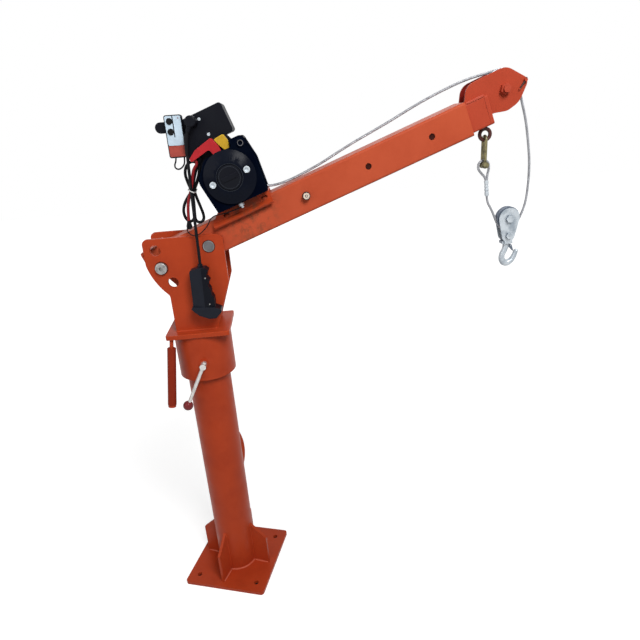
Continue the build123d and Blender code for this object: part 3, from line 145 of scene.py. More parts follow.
STEELWORK = (
    ("orange_enamel", None, ("base_plate", "base_gussets", "column_tube", "column_lug", "slew_sleeve",
                             "head_plate", "near_cheek", "far_cheek", "handle_rod", "clamp_nut")),
    # The saddle's enamel carries soil and painted shade under the gearbox
    ("saddle_shaded_enamel", None, ("winch_saddle",)),
    # Painted shade: the turning grip takes a darker copy of the enamel
    ("grip_shaded_enamel", None, ("turn_grip",)),
    # Painted light and shade: the extension and head take their own copy of the enamel
    ("head_shaded_enamel", None, ("extension_tube", "head_cheeks")),
    ("bolt_enamel", None, ("head_pins",)),
    # Painted light: the boom takes a paler copy of the enamel
    ("boom_lit_enamel", 0.8, ("boom_tube",)),
    ("ring_enamel", None, ("anchor_ring",)),
)
PINS = (
    ("dull_steel", 1.2, ("pivot_pin",)),
    ("bright_steel", 0.5, ("lock_pin", "thrust_washer")),
    ("bright_plate", 0.5, ("clamp_screw",)),
    ("dark_steel", 0.5, ("extension_bolt",)),
)
BUSHES = (
    ("bearing_bronze", 0.4, ("slew_bushes", "pivot_bush")),
    ("dark_red_knob", 0.5, ("clamp_knob",)),
)
WINCH = (
    ("cover_enamel", 1.2, ("gearbox_cover",)),
    ("housing_enamel", 2.5, ("gearbox_housing",)),
    ("black_enamel", 2.0, ("motor_bracket",)),
    ("black_enamel", 1.0, ("motor_casing", "motor_end_cap")),
    ("black_enamel", 0.5, ("winch_drum",)),
    ("black_moulding", 0.8, ("clutch_dial",)),
    ("zinc_plating", 0.4, ("winch_fasteners",)),
)
CONTROLS = (
    ("black_moulding", 1.8, ("control_box",)),
    ("black_moulding", 1.2, ("remote_holder",)),
    ("black_moulding", 0.6, ("remote_body", "handset_rocker")),
    ("handset_lit_tint", 1.5, ("handset_body",)),
    ("button_rubber", 0.4, ("button_in", "button_out")),
    ("red_vinyl", 2.0, ("red_boot",)),
    ("yellow_vinyl", 2.0, ("yellow_boot",)),
)
PLUG = ("pendant_plug", "black_moulding", 0.6)
BLOCK = (
    ("zinc_plating", 0.6, ("head_sheave",)),
    ("plate_shade", 0.6, ("block_sheave", "hook_latch")),
    ("block_zinc", 0.6, ("block_cheeks",)),
)
SHACKLE = ("shackle", "yellow_zinc", 0.5)

# Slopes of the faces that get a second finish as painted light and shade: the handset's right-facing faces, a head
# cheek's inside, the block's rims

HANDSET_SHADE_SLOPE = 0.1
INNER_SHADE_SLOPE = 0.9
RIM_SHADE_SLOPE = 0.5

# Values of the finishes, with colours by the name of the user's own or by their parts

BLACK_SHADE = (0.003, 0.005, 0.011)
BLACK_RUB = (0.02, 0.02, 0.025)
# Dark colour at the zinc's chipped edges and specks, also on the hook: partly wear, partly painted shade outlining
# the edges
ZINC_EDGE_SHADE = (0.06, 0.07, 0.085)
STEEL_RUB = (0.5, 0.48, 0.45)
COATS = {
    "orange_enamel": dict(tint="enamel", shade="enamel_shade", shine=0.14),
    # Painted light and shade: the head's copy of the enamel, also on the sheave bolt below
    "head_shaded_enamel": dict(tint="head", shade="head_shade", shine=0.06),
    "bolt_enamel": dict(tint="head", shade="head_shade", wear=0.08, shine=0.16),
    # Painted highlight on the foot's weld beads
    "weld_highlight_enamel": dict(tint="weld", shade="enamel", gloss=0.38, wear=0.1, share=0.6, shine=0.2),
    # Dried soil and painted shade under the gearbox on the saddle's wall
    "saddle_shaded_enamel": dict(tint="enamel", shade="enamel_shade", wear=0.5, share=0.6, shine=0.14,
                          soil_and_shade=((125, -45, 48), 0.075)),
    # Painted light: the boom's paler copy of the enamel, with soil and painted shade under the winch
    "boom_lit_enamel": dict(tint="boom", shade="boom_shade", shine=0.06, soil_and_shade=((120, -40, 25), 0.11)),
    # Painted shade: a darker copy of the enamel on the turning grip
    "grip_shaded_enamel": dict(tint=(0.27, 0.026, 0.009), shade=(0.2, 0.02, 0.008), bare=(0.05, 0.02, 0.02),
                        shine=0.08),
    "ring_enamel": dict(tint=(0.085, 0.022, 0.018), shade=(0.03, 0.012, 0.012), bare=(0.2, 0.05, 0.03),
                        patch=0.015),
    "black_enamel": dict(tint="black", shade=BLACK_SHADE, bare=BLACK_RUB, gloss=0.4, wear=0.25, patch=0.05,
                         shine=0.03),
    "housing_enamel": dict(tint="black", shade=BLACK_SHADE, bare=BLACK_RUB, gloss=0.4, wear=0.25, patch=0.05,
                           shine=0.0),
    "cover_enamel": dict(tint="black", shade=BLACK_SHADE, bare=(0.03, 0.032, 0.04), gloss=0.24, wear=0.3,
                         patch=0.05, shine=0.065),
    "black_moulding": dict(tint="plastic", shade=(0.006, 0.007, 0.01), bare=BLACK_RUB, gloss=0.48, wear=0.3,
                           patch=0.04, peel=0.0009, shine=0.09),
    "zinc_plating": dict(tint="zinc", shade=(0.3, 0.35, 0.4), bare=ZINC_EDGE_SHADE, gloss=0.3, wear=0.95, patch=0.05,
                         peel=0.0012, metallic=0.25, share=0.6),
    "block_zinc": dict(tint="zinc", shade=(0.22, 0.27, 0.32), bare=ZINC_EDGE_SHADE, gloss=0.3, wear=0.5, patch=0.035,
                       peel=0.004, metallic=0.3, share=0.85),
    "plate_shade": dict(tint=(0.17, 0.2, 0.25), shade=(0.07, 0.09, 0.13), bare=(0.04, 0.05, 0.07), gloss=0.34,
                        wear=0.5, patch=0.02, peel=0.004, metallic=0.3, share=0.8),
    # Painted reflection and highlight: dark patches and pale worn edges stand for the shackle's dark reflection
    # and lit edges, partly wear
    "yellow_zinc": dict(tint="gold", shade=(0.04, 0.035, 0.025), bare=(0.42, 0.41, 0.28), gloss=0.36,
                        wear=0.8, patch=0.012, peel=0.0012, metallic=0.6, share=0.85),
    "bright_steel": dict(tint=(0.34, 0.33, 0.32), shade=(0.09, 0.085, 0.085), bare=STEEL_RUB, gloss=0.3,
                         wear=0.8, patch=0.012, peel=0.0008, metallic=0.7, share=0.9),
    "dull_steel": dict(tint=(0.15, 0.145, 0.15), shade=(0.07, 0.068, 0.07), bare=STEEL_RUB, gloss=0.4,
                       wear=0.9, patch=0.012, peel=0.0008, metallic=0.5),
    "bright_plate": dict(tint=(0.62, 0.6, 0.58), shade=(0.3, 0.28, 0.27), bare=(0.2, 0.19, 0.18), gloss=0.22,
                         wear=0.3, patch=0.02, peel=0.0008, metallic=0.6),
    "bearing_bronze": dict(tint=(0.42, 0.25, 0.09), shade=(0.3, 0.17, 0.06), bare=(0.2, 0.1, 0.04),
                           gloss=0.35, patch=0.02, metallic=1.0),
}
VINYLS = {
    # Painted shade: the dark colour in the boom's spare pin holes and in the rims round the pins
    "hole_shade": dict(tint=(0.045, 0.011, 0.008), gloss=0.6, shine=0.03),
    # Painted shade on the far head cheek's inside
    "inner_shade_enamel": dict(tint=(0.19, 0.013, 0.009), gloss=0.5, shine=0.04),
    "cream_plate": dict(tint=(0.8, 0.66, 0.53), gloss=0.3),
    "dark_steel": dict(tint=(0.03, 0.018, 0.016), gloss=0.4),
    "red_sheath": dict(tint=(0.26, 0.012, 0.016), gloss=0.42),
    # Painted highlight: the lighter colour of the rings on the gearbox cover and dial
    "dial_highlight_line": dict(tint=(0.03, 0.036, 0.046), gloss=0.35),
    "red_vinyl": dict(tint="red"),
    "yellow_vinyl": dict(tint="yellow"),
    "white_nylon": dict(tint=(0.75, 0.75, 0.74)),
    "dark_red_knob": dict(tint=(0.2, 0.018, 0.022), gloss=0.22),
    "cable_sheath": dict(tint=(0.005, 0.005, 0.007), gloss=0.42, shine=0.1),
    # Painted light: the handset's lighter black, on all but its right-facing faces
    "handset_lit_tint": dict(tint=(0.009, 0.011, 0.018), gloss=0.4, shine=0.12),
    "remote_face": dict(tint="face", gloss=0.3),
    "remote_panel": dict(tint="panel", gloss=0.34),
    "button_rubber": dict(tint=(0.006, 0.006, 0.007), gloss=0.55, shine=0.1),
}
# Painted shade: the groove colour darkens the rope between its strands
WIRES = {"rope_wire": dict(tint="rope", shade=(0.2, 0.2, 0.22), groove_shade_colour=(0.03, 0.03, 0.034))}

# Patterns in the finishes: size of the features in metres, detail, roughness, and the range that counts

WORN = (0.011, 6.0, 0.7, 0.5, 0.62)
SPECK = (0.004, 2.0, 0.55, 0.74, 0.78)
SPARSE = (0.09, 2.0, 0.55, 0.52, 0.66)
SMEAR = (0.05, 6.0, 0.65, 0.3, 0.75)
# Spots of the soil and the painted shade under the winch
SOIL_AND_SHADE_SPOTS = (0.018, 6.0, 0.7, 0.42, 0.68)
MOTTLE_DETAIL = 5.0
MOTTLE_ROUGHNESS = 0.62
MOTTLE_RANGE = (0.38, 0.72)
GRAIN_DETAIL = 2.0
GRAIN_ROUGHNESS = 0.5
# Painted highlight: how much the coat is lightened along the eased edges, and its weight
EDGE_HIGHLIGHT = (1.35, 1.45, 1.5, 1.0)
EDGE_HIGHLIGHT_WEIGHT = 0.8
# Core and weight of the soil and painted shade under the winch
SOIL_AND_SHADE_CORE = 0.15
SOIL_AND_SHADE_WEIGHT = 0.75
GLOSS_SPREAD = 0.08
METAL_SHINE = 0.5
PEEL_DEPTH = 0.04
PEEL_STRENGTH = 0.12
VINYL_SHADE = 0.6

# Routes of the cords in millimetres, as (x, y, z) of the crane or (u, y, v) along, across and off the boom

TIE = Vector((36.3, 0, 1157))
BLACK_START = ((105, -27, 210), (105, -27, 198))
HANK = ((37, -28, 66), (23, -28.5, 41), (11, -29, 14), (2.5, -29.3, 0), (-9, -29.5, -9), (-18, -29.8, -20),
        (-26, -30.3, -33), (-30, -31, -47), (-29, -32, -60), (-23, -33, -71), (-13, -34.2, -73),
        (-6, -35.2, -65), (-3.4, -36, -51), (-2, -36.3, -26), (-3, -36.6, 0), (-9, -37, 20), (-12, -37.5, 38),
        (-7, -38, 54), (4, -38.5, 64), (17, -39, 63), (24.5, -39.5, 52), (20, -40, 33), (11, -40.5, 14),
        (3.7, -41, 0), (8, -41.5, -20), (13.5, -42, -40), (17.2, -42.5, -54), (18, -43, -67),
        (11.8, -43.7, -74.5), (3.2, -44.4, -74.7), (-2.6, -45.1, -68), (-2, -45.7, -55), (-0.5, -46.4, -36),
        (0.5, -46.9, -18), (0.5, -47.4, 0), (7, -47.5, 21), (15, -47.5, 41), (20, -47.5, 54))
RED_START = ((68, -60, 188.1), (69.6, -60, 179.25))
RED_FALL = ((50, -58.5, 1206), (45, -57, 1193), (42, -56, 1180), (35, -54.4, 1157), (27.5, -54.4, 1141),
            (21, -54.4, 1115), (19.6, -54.4, 1090))
SIGNAL = ((116, -68, 52.5), (102, -68, 52.8), (80, -68, 54.5), (64, -67, 57.5), (50, -63, 60.5),
          (36, -59, 57), (25, -58, 47), (9, -59, 39.5), (-6, -60, 35), (-20, -60.5, 39), (-26, -61, 52),
          (-22.5, -60.5, 63), (-14.5, -58.9, 69.2))
STRAP = ((11.8, 1231.2), (10.8, 1224), (6.5, 1217), (6.8, 1209.5), (13.5, 1205.7), (22, 1209), (28.5, 1216.5),
         (30.4, 1224), (30.8, 1231.2))
STRAP_Y = -48
PENDANT = ((49.02, -63, 1284.68), (43.9, -63, 1273.48), (40, -63.5, 1228), (37.3, -62.3, 1165),
           (36.2, -66, 1120), (35.5, -72, 1080), (33.9, -74, 1005.98), (33, -74, 988))
LEAD_SLEEVE = ((82.84, -27, 1257.25, 9), (86.5, -27, 1246, 9), (81, -27.6, 1235.5, 8), (74, -28, 1224, 5.5),
               (70, -28.1, 1217, 4.2))
PLUG_SLEEVE = ((46.5, -63, 1279, 6), (43.6, -63, 1272, 6), (41.8, -63.2, 1252, 4.8), (40.6, -63.4, 1236, 4))
SPLINE_ORDER = 3
CORD_STEPS = 10
CORD_SIDES = 5
LENGTH_STEPS = 24

# Routes of the ropes in millimetres, and stretches that go with the named joints but are not used

RUN_START = ((130.5, 1.0, 88.15), (146.5, 1.43, 88.15))
RUN = ((170, 77), (196, 61), (238, 55), (284, 56.5), (334, 60), (374, 66), (424, 72), (478, 76.3),
       (522, 80.2), (560, 84.8), (607, 89.5), (660, 92), (706, 92), (744, 88.5), (838.2, 73.4),
       (833.23, 26.43))
RUN_GIVE = ((160, 88), (740, 88))
FERRULE_FOOT = (763.5, 1082)
FALLS = ((829.94, 1333.82), (837.20, 1304.71), (852.3, 1258), (862, 1208), (869.5, 1160), (871, 1108),
         (866.5, 1046), (839.35, 991.41), (800.93, 992.51), (777.2, 1048), (764.93, 1066.06), FERRULE_FOOT)
FALL_GIVE = ((830, 1330), (830, 1046))
TAIL_GIVE = (FERRULE_FOOT, (797, 1000))
EYE = ((760.6, 1112), (758.6, 1127), (747, 1138), (737.4, 1150), (738.4, 1164), (750, 1171.5), (763, 1166),
       (766, 1152), (762.6, 1136), (761.6, 1124), (761.4, 1112))
WINDINGS = (("rope_outer_turns", 35.85, 6.1, 4, -23.55), ("rope_inner_turns", 30.2, 5.6, 8.5, -23.8))
WINDING_CORNERS = 16
WINDING_STEPS = 5
WINDING_START = -0.25
CORNER_PULL = 0.25
ROPE_STEPS = 22
EYE_STEPS = 12
STRAND_CORNERS = 5
STRAND_GROOVE = 0.22

# Weld beads: sides, steps, ripples as (size, rate) or (size, rate, shift), and seams in millimetres

BEAD_SIDES = 8
RING_STEPS = 180
RING_RIPPLES = ((0.16, 90), (0.1, 7))
RUN_RIPPLES = ((0.14, 1500, 0), (0.12, 130, 900))
RUN_STEP = 0.0022
RUN_LEAST_CUTS = 6
RUN_END = 0.55
GUSSET_YAW = -23
GUSSET_HALF = 4
GUSSET_REACH = 105
GUSSET_BEAD = 0.8
SEAM_START = 4
SEAM_END = 2
CHEEK_SEAM = (-56, 50)
SADDLE_SEAMS = (((-40.5, 40.5), (((42, 36), (184, 36), 0.9),)),)
BOOM_HEAD_SEAMS = (
    ((-20.5, -14.5, 14.5, 20.5), (((692, 44.4), (741, 44.4), 0.8), ((742, 43), (742, -3), 0.7))),
    ((-34.4, 34.4), (((734, 43), (734, -23), 0.35), ((692, 43.6), (733, 43.6), 0.5))),
)

# Small fittings in millimetres, with profiles as (radius, height)

# Painted shade: dark discs set back in the boom's spare pin holes
HOLE_SHADE_ALONG = (428, 591)
HOLE_SHADE_ACROSS = 37.2
HOLE_SHADE_OFF = 10
HOLE_SHADE_STEPS = 40
HOLE_SHADE_PROFILE = ((0, 0), (5.2, 0), (6.2, 0.6), (7.3, 0.6), (7.3, -1.2), (0, -1.2))
RING_FOOT = -0.6
RING_TOP = 0.3
RING_SLOPE = 0.2
# Painted shade: dark rims round the pivot and lock pins
PIN_SHADE_RIMS = ((56, 1024, 14.1, 15.6), (-64.3, 980.2, 14.7, 16.4))
# Painted highlight: bright ring on the pivot pin's chamfer
PIVOT_HIGHLIGHT_RING = (11.6, 13.2)
BOLT_AXIS = (301.6, 1124.0)
BOLT_FRONT = -52.0
BOLT_DRAW = 0.84
BOLT_SEAT = 0.2
BOLT_CAP_HALF = 0.4
BOLT_CAP = ((0, BOLT_CAP_HALF), (7.2, BOLT_CAP_HALF), (8, -BOLT_CAP_HALF), (0, -BOLT_CAP_HALF))
BOLT_CENTRE = (1.8, 3.7)
BOSS = (162.6, -86.0, 1254.4)
# Painted highlight: pale ring on the gearbox's boss
BOSS_HIGHLIGHT_RIM = (5.2, 6.6)
# Painted highlight: lighter rings on the gearbox cover and the dial
DIAL_HIGHLIGHT_RINGS = (("cover_highlight_ring", "gearbox_cover", 29.8, 0), ("dial_highlight_ring", "clutch_dial", 23.8, 3))
DIAL_HIGHLIGHT_HALF_WIDTH = 0.5
DIAL_STEPS = 96
SKIRT = ((38, 1258), (72, 1268), (56, 1239), (43, 1225), (35, 1224))
FLAP = ((50, 1230), (64, 1250), (98, 1268), (120, 1274), (136, 1270), (142, 1256), (142, 1236), (117, 1230),
        (96, 1229), (78, 1220), (62, 1206), (53, 1213))
FLAP_Y = (-36.2, -34.6)
FLAP_EASE = 0.4
REMOTE_MARGIN = 4.5
REMOTE_FOOT = 2.8
REMOTE_SINK = 0.1
REMOTE_EASE = 0.1
SCREWS = ((41.9, -87.5, 955.1), (43.3, -86.6, 888.7))
SCREW_STEPS = 24
SCREW_AXIS = (0.2, -1, 0)
SCREW_HEAD = ((0, 1.2), (0.8, 1.2), (1.6, 0.9), (2.1, 0.2), (2.1, -1))
TIE_FRONT = -67.2
TIE_INSET = 0.6
TIE_WIDTH = 2.2
TIE_THICK = 1.2
TIE_TILT = 27
TIE_SIDES = 48
TIE_SQUARENESS = 5
TIE_HEAD_OFF = 1.2
TIE_HEAD = (((0, 0, 0), (6.2, 3.4, 5.2), 0.8), ((5, 0.6, -0.4), (6, 1, 3.6), 0))
CAP_EASE = 0.9
CAP_SHARP = 25.0
CAP_FLAT = 4.0
CAP_STEPS = 3
FERRULE = ((760, 1121), FERRULE_FOOT)
FERRULE_END = ((0, 0), (4.2, 0), (5.2, 1.2), (5.5, 4))
FERRULE_PRESS = ((5.5, -2.2), (4.8, -1.2), (4.8, 1.2), (5.5, 2.2))
FERRULE_PRESSES = (0.3, 0.5, 0.7)
HOOK = (821, 956)
HOOK_BAR = ((0, -8), (-2, -18), (-8.5, -30), (-9.5, -42), (-4, -52), (5, -55), (17, -49), (24.5, -38),
            (29, -24))
HOOK_STEPS = 12
HOOK_SWELL = ((0.0, 1.0), (0.25, 1.0), (0.5, 1.16), (0.68, 1.16), (0.85, 0.95), (1.0, 0.78))
SPLIT_PIN = ((844.6, -24.8, 38.6), (820.6, -24.8, 21.6))
SPLIT_LEG = ((0, 0), (1.2, 0), (1.4, 1), (1.4, 27), (0, 28.5))
SPLIT_OFF = 1.1
SPLIT_STEPS = 16

# Trim of the remote in millimetres: shift, width, start, end, thickness and corner, with None for a margin

REMOTE_TRIM = (
    ("remote_face", "remote_face", 0, None, 2.2, 64.2, 0.6, 3.0),
    ("remote_panel", "remote_panel", 0, None, 64.8, None, 0.6, 2.0),
    ("remote_rib", "black_moulding", -0.3, 1.9, 2.2, 47.0, 1.2, 0.4),
    ("remote_lamp", "dark_red_knob", 12.0, 2.4, 6.2, 8.5, 1.1, 1.0),
)

# Mesh limits: merging distances in metres, angles in degrees, and how straight an edge has to lie

MERGE = 2e-6
POLE_MERGE = 1e-6
FLAT_ANGLE = 0.2
SHARP_ANGLE = 38.0
SLAB_SHARP = 60.0
SLAB_EASE = 0.3
CORNER_STEPS = 5
EASE_STEPS = 2
TURN_STEPS = 48
FLAT_RING_STEPS = 64
SMOOTH_PLATE = 32.0
SMOOTH_BEAD = 50.0
SMOOTH_ROUND = 60.0
ALIGNED = 0.99

# Stage: lamps as place, target, size and share of the key's power, floor in metres, and the camera's axes

LAMPS = (
    ("key", (0.95, -1.75, 2.65), (0.3, 0.0, 1.05), 1.0, 1.0),
    ("fill", (-1.5, -2.0, 1.9), (0.2, 0.0, 0.9), 1.8, 0.28),
    ("back", (0.6, 2.2, 2.6), (0.3, 0.0, 0.9), 1.6, 0.12),
)
WHITE = (1.0, 1.0, 1.0, 1.0)
FLOOR_HALF = 9.0
FLOOR_GREY = (0.55, 0.55, 0.55, 1.0)
FLOOR_ROUGHNESS = 0.9
FLOOR_SHINE = 0.1
FLOOR_GLOW = (0.45, 2.0, 0.72, 1.0)
# Painted shade: floor colour under the base plate
UNDER_PLATE_SHADE = (0.01, 0.01, 0.01, 1.0)
PLATE_TURN = 18
PLATE_EDGE = (0.116, 0.122)
CAMERA_RIGHT = (0.99401, -0.08555, -0.06801)
CAMERA_UP = (0.09382, 0.34883, 0.93248)
SENSOR_WIDTH = 36.0


def boom_point(u, y, v):
    """Place in the crane's frame of a point of the boom's frame, in millimetres."""
    return BOOM @ (Vector((u, y, v)) * MM)


def spots(points):
    """Points given in millimetres as (x, y, z), or as (x, z) in the crane's middle plane."""
    return [Vector(p if len(p) == 3 else (p[0], 0, p[1])) * MM for p in points]


def boom_spots(points):
    """Points of the boom's frame given in millimetres as (u, y, v), or as (u, v) in the middle plane."""
    return [boom_point(*(p if len(p) == 3 else (p[0], 0, p[1]))) for p in points]


def settings(kind):
    """The user's colours, sizes or stage."""
    return getattr(bpy.context.scene, f"crane_{kind}")


# Shader building


def feed(tree, item, values):
    """Set or link the sockets of a node."""
    for key, value in values.items():
        if isinstance(value, bpy.types.NodeSocket):
            tree.links.new(value, item.inputs[key])
        else:
            item.inputs[key].default_value = value


def put(tree, kind, values, **options):
    """Add a node, set its options and feed its sockets."""
    item = tree.nodes.new(kind)
    for key, value in options.items():
        setattr(item, key, value)
    feed(tree, item, values)
    return item


def rgba(value):
    """Colour with its alpha, from its parts or from the name of one of the user's colours."""
    parts = getattr(settings("colours"), value) if isinstance(value, str) else value
    return (*parts, 1.0)


def mix(tree, factor, first, second, blend="MIX"):
    """Colour between two colours, by the sockets that a colour mix uses."""
    values = {0: factor, 6: first, 7: second}
    return put(tree, "ShaderNodeMix", values, data_type="RGBA", blend_type=blend).outputs[2]


def maths(tree, operation, first, second=0.0, clamp=False):
    """Result of one sum."""
    values = {0: first, 1: second}
    return put(tree, "ShaderNodeMath", values, operation=operation, use_clamp=clamp).outputs[0]


def ramp(tree, value, low, high, out_low=0.0, out_high=1.0):
    """Value carried from one range to another, with soft ends."""
    values = {"Value": value, "From Min": low, "From Max": high, "To Min": out_low, "To Max": out_high}
    return put(tree, "ShaderNodeMapRange", values, interpolation_type="SMOOTHSTEP").outputs["Result"]


def noise(tree, where, scale, detail, rough):
    """Noise over the piece."""
    values = {"Vector": where, "Scale": scale, "Detail": detail, "Roughness": rough}
    return put(tree, "ShaderNodeTexNoise", values).outputs["Fac"]


def patches(tree, where, size, detail, rough, low, high, out_low=0.0):
    """Patches with features of about one size, in metres."""
    return ramp(tree, noise(tree, where, 1.0 / size, detail, rough), low, high, out_low)


def attribute(tree, name):
    """Value that the piece itself carries."""
    return put(tree, "ShaderNodeAttribute", {}, attribute_name=name).outputs["Fac"]


def new_group(name, inputs, outputs):
    """Empty node group with its sockets."""
    tree = bpy.data.node_groups.new(name, "ShaderNodeTree")
    kinds = {"colour": "NodeSocketColor", "value": "NodeSocketFloat", "vector": "NodeSocketVector"}
    for side, sockets in (("INPUT", inputs), ("OUTPUT", outputs)):
        for label, kind in sockets.items():
            tree.interface.new_socket(name=label, in_out=side, socket_type=kinds[kind])
    return tree, tree.nodes.new("NodeGroupInput").outputs, tree.nodes.new("NodeGroupOutput")


def mottle_group():
    """Two tints in soft patches."""
    inputs = {"Where": "vector", "Tint": "colour", "Shade": "colour", "Patch": "value", "Share": "value"}
    tree, given, out = new_group("Mottle", inputs, {"Color": "colour"})
    scale = maths(tree, "DIVIDE", 1.0, given["Patch"])
    broad = noise(tree, given["Where"], scale, MOTTLE_DETAIL, MOTTLE_ROUGHNESS)
    part = maths(tree, "MULTIPLY", ramp(tree, broad, *MOTTLE_RANGE), given["Share"])
    feed(tree, out, {"Color": mix(tree, part, given["Tint"], given["Shade"])})
    return tree


def chips_and_highlight_group():
    """Chipped edges and a painted highlight that lightens the edges, found by the piece's own edge attribute, and
    small specks on the faces.
    """
    inputs = {"Where": "vector", "Coat": "colour", "Bare": "colour", "Wear": "value"}
    tree, given, out = new_group("ChipsAndEdgeHighlight", inputs, {"Color": "colour"})
    edge = attribute(tree, "edge")
    chipped = maths(tree, "MULTIPLY", edge, patches(tree, given["Where"], *WORN))
    specks = patches(tree, given["Where"], *SPECK)
    specks = maths(tree, "MULTIPLY", specks, patches(tree, given["Where"], *SPARSE))
    both = maths(tree, "MAXIMUM", chipped, specks)
    mask = maths(tree, "MULTIPLY", both, given["Wear"], clamp=True)
    # Painted highlight: the coat is lightened along the edges
    edge_lit = mix(tree, maths(tree, "MULTIPLY", edge, EDGE_HIGHLIGHT_WEIGHT), given["Coat"], EDGE_HIGHLIGHT, "MULTIPLY")
    feed(tree, out, {"Color": mix(tree, mask, edge_lit, given["Bare"])})
    return tree


def grain_group():
    """Fine surface relief and an uneven gloss."""
    inputs = {"Where": "vector", "Size": "value", "Gloss": "value", "Spread": "value"}
    tree, given, out = new_group("Grain", inputs, {"Height": "value", "Roughness": "value"})
    scale = maths(tree, "DIVIDE", 1.0, given["Size"])
    fine = noise(tree, given["Where"], scale, GRAIN_DETAIL, GRAIN_ROUGHNESS)
    smear = maths(tree, "MULTIPLY", patches(tree, given["Where"], *SMEAR, -1.0), given["Spread"])
    rough = maths(tree, "ADD", given["Gloss"], smear, clamp=True)
    feed(tree, out, {"Height": fine, "Roughness": rough})
    return tree


GROUP_MAKERS = {"Mottle": mottle_group, "ChipsAndEdgeHighlight": chips_and_highlight_group, "Grain": grain_group}
GROUPS = {}


def use(tree, name, values):
    """Place one of the shared node groups, which are made once."""
    if name not in GROUPS:
        GROUPS[name] = GROUP_MAKERS[name]()
    return put(tree, "ShaderNodeGroup", values, node_tree=GROUPS[name]).outputs


def blank(name):
    """Material with its shader, and the coordinates it reads."""
    material = bpy.data.materials.new(name)
    material.use_nodes = True
    tree = material.node_tree
    tree.nodes.clear()
    shader = tree.nodes.new("ShaderNodeBsdfPrincipled")
    put(tree, "ShaderNodeOutputMaterial", {"Surface": shader.outputs["BSDF"]})
    where = tree.nodes.new("ShaderNodeTexCoord").outputs["Object"]
    return material, tree, shader, where


def relief(tree, shader, height, depth, strength):
    """Bump on the shader's normal."""
    bump = put(tree, "ShaderNodeBump", {"Height": height, "Distance": depth, "Strength": strength})
    feed(tree, shader, {"Normal": bump.outputs["Normal"]})


def coated(name, tint, shade, bare="primer", gloss=0.42, patch=0.12, share=0.5, wear=0.6, peel=0.0022,
           metallic=0.0, shine=0.25, soil_and_shade=None):
    """Paint, plastic or plating: patchy tint, chipped edges, a fine relief and uneven gloss."""
    material, tree, shader, where = blank(name)
    tints = {"Where": where, "Tint": rgba(tint), "Shade": rgba(shade), "Patch": patch, "Share": share}
    coat = use(tree, "Mottle", tints)["Color"]
    base = use(tree, "ChipsAndEdgeHighlight", {"Where": where, "Coat": coat, "Bare": rgba(bare), "Wear": wear})["Color"]
    # Dried soil and painted shade around a place under the winch
    if soil_and_shade:
        base = soiled_and_shaded(tree, where, base, *soil_and_shade)
    grain = use(tree, "Grain", {"Where": where, "Size": peel, "Gloss": gloss, "Spread": GLOSS_SPREAD})
    feed(tree, shader, {"Base Color": base, "Roughness": grain["Roughness"], "Metallic": metallic,
                        "Specular IOR Level": METAL_SHINE if metallic else shine})
    relief(tree, shader, grain["Height"], peel * PEEL_DEPTH, PEEL_STRENGTH)
    return material


def soiled_and_shaded(tree, where, base, place, reach):
    """Dried soil and painted shade: darker patches around a place in the boom's frame, under the winch."""
    values = {0: where, 1: boom_point(*place)}
    away = put(tree, "ShaderNodeVectorMath", values, operation="DISTANCE").outputs["Value"]
    near = ramp(tree, away, reach, reach * SOIL_AND_SHADE_CORE)
    patchy = maths(tree, "MULTIPLY", near, patches(tree, where, *SOIL_AND_SHADE_SPOTS))
    return mix(tree, maths(tree, "MULTIPLY", patchy, SOIL_AND_SHADE_WEIGHT), base, rgba("soil_and_shade"))


def vinyl(name, tint, gloss=0.38, shine=0.2):
    """Plain moulded or matt surface, with its own darker shade."""
    shade = [VINYL_SHADE * value for value in rgba(tint)[:3]]
    return coated(name, tint, shade, shade, gloss, wear=0.3, patch=0.02, peel=0.0007, shine=shine)


def laid_wire(name, tint, shade, groove_shade_colour, gloss=0.42, spread=0.1, patch=0.01, share=0.6, peel=0.0006,
              metallic=0.4, depth=0.0001, strength=0.3):
    """Galvanised wire of the rope, with painted shade between its strands."""
    material, tree, shader, where = blank(name)
    tints = {"Where": where, "Tint": rgba(tint), "Shade": rgba(shade), "Patch": patch, "Share": share}
    coat = use(tree, "Mottle", tints)["Color"]
    # Painted shade between the strands
    base = mix(tree, attribute(tree, "groove_shade"), coat, rgba(groove_shade_colour))
    grain = use(tree, "Grain", {"Where": where, "Size": peel, "Gloss": gloss, "Spread": spread})
    feed(tree, shader, {"Base Color": base, "Roughness": grain["Roughness"], "Metallic": metallic})
    relief(tree, shader, grain["Height"], depth, strength)
    return material


FINISHES = {}


def finish(name):
    """One of the crane's finishes, made once."""
    if name not in FINISHES:
        if name in COATS:
            FINISHES[name] = coated(name, **COATS[name])
        elif name in VINYLS:
            FINISHES[name] = vinyl(name, **VINYLS[name])
        else:
            FINISHES[name] = laid_wire(name, **WIRES[name])
    return FINISHES[name]


# Mesh building


def linked(name, data):
    """New object in the scene."""
    item = bpy.data.objects.new(name, data)
    bpy.context.scene.collection.objects.link(item)
    return item


def fit(name, data, node, rides=True):
    """New object that rides with a CAD node's body, unless it is told not to."""
    item = linked(name, data)
    if rides:
        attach(item, BODIES[node])
    return item


def mesh_of(name, bm, material):
    """Mesh of a finished bmesh."""
    mesh = bpy.data.meshes.new(name)
    bm.to_mesh(mesh)
    bm.free()
    mesh.materials.append(material)
    return mesh


def piece(name, bm, node, finish_name, smooth=SMOOTH_PLATE, rides=True):
    """Turn a bmesh into a piece that goes with a CAD node."""
    bmesh.ops.remove_doubles(bm, verts=bm.verts, dist=MERGE)
    bmesh.ops.recalc_face_normals(bm, faces=bm.faces)
    mesh = mesh_of(name, bm, finish(finish_name))
    mesh.shade_smooth()
    mesh.set_sharp_from_angle(angle=math.radians(smooth))
    item = fit(name, mesh, node, rides)
    item.modifiers.new("flat_faces", "WEIGHTED_NORMAL").keep_sharp = True
    return item


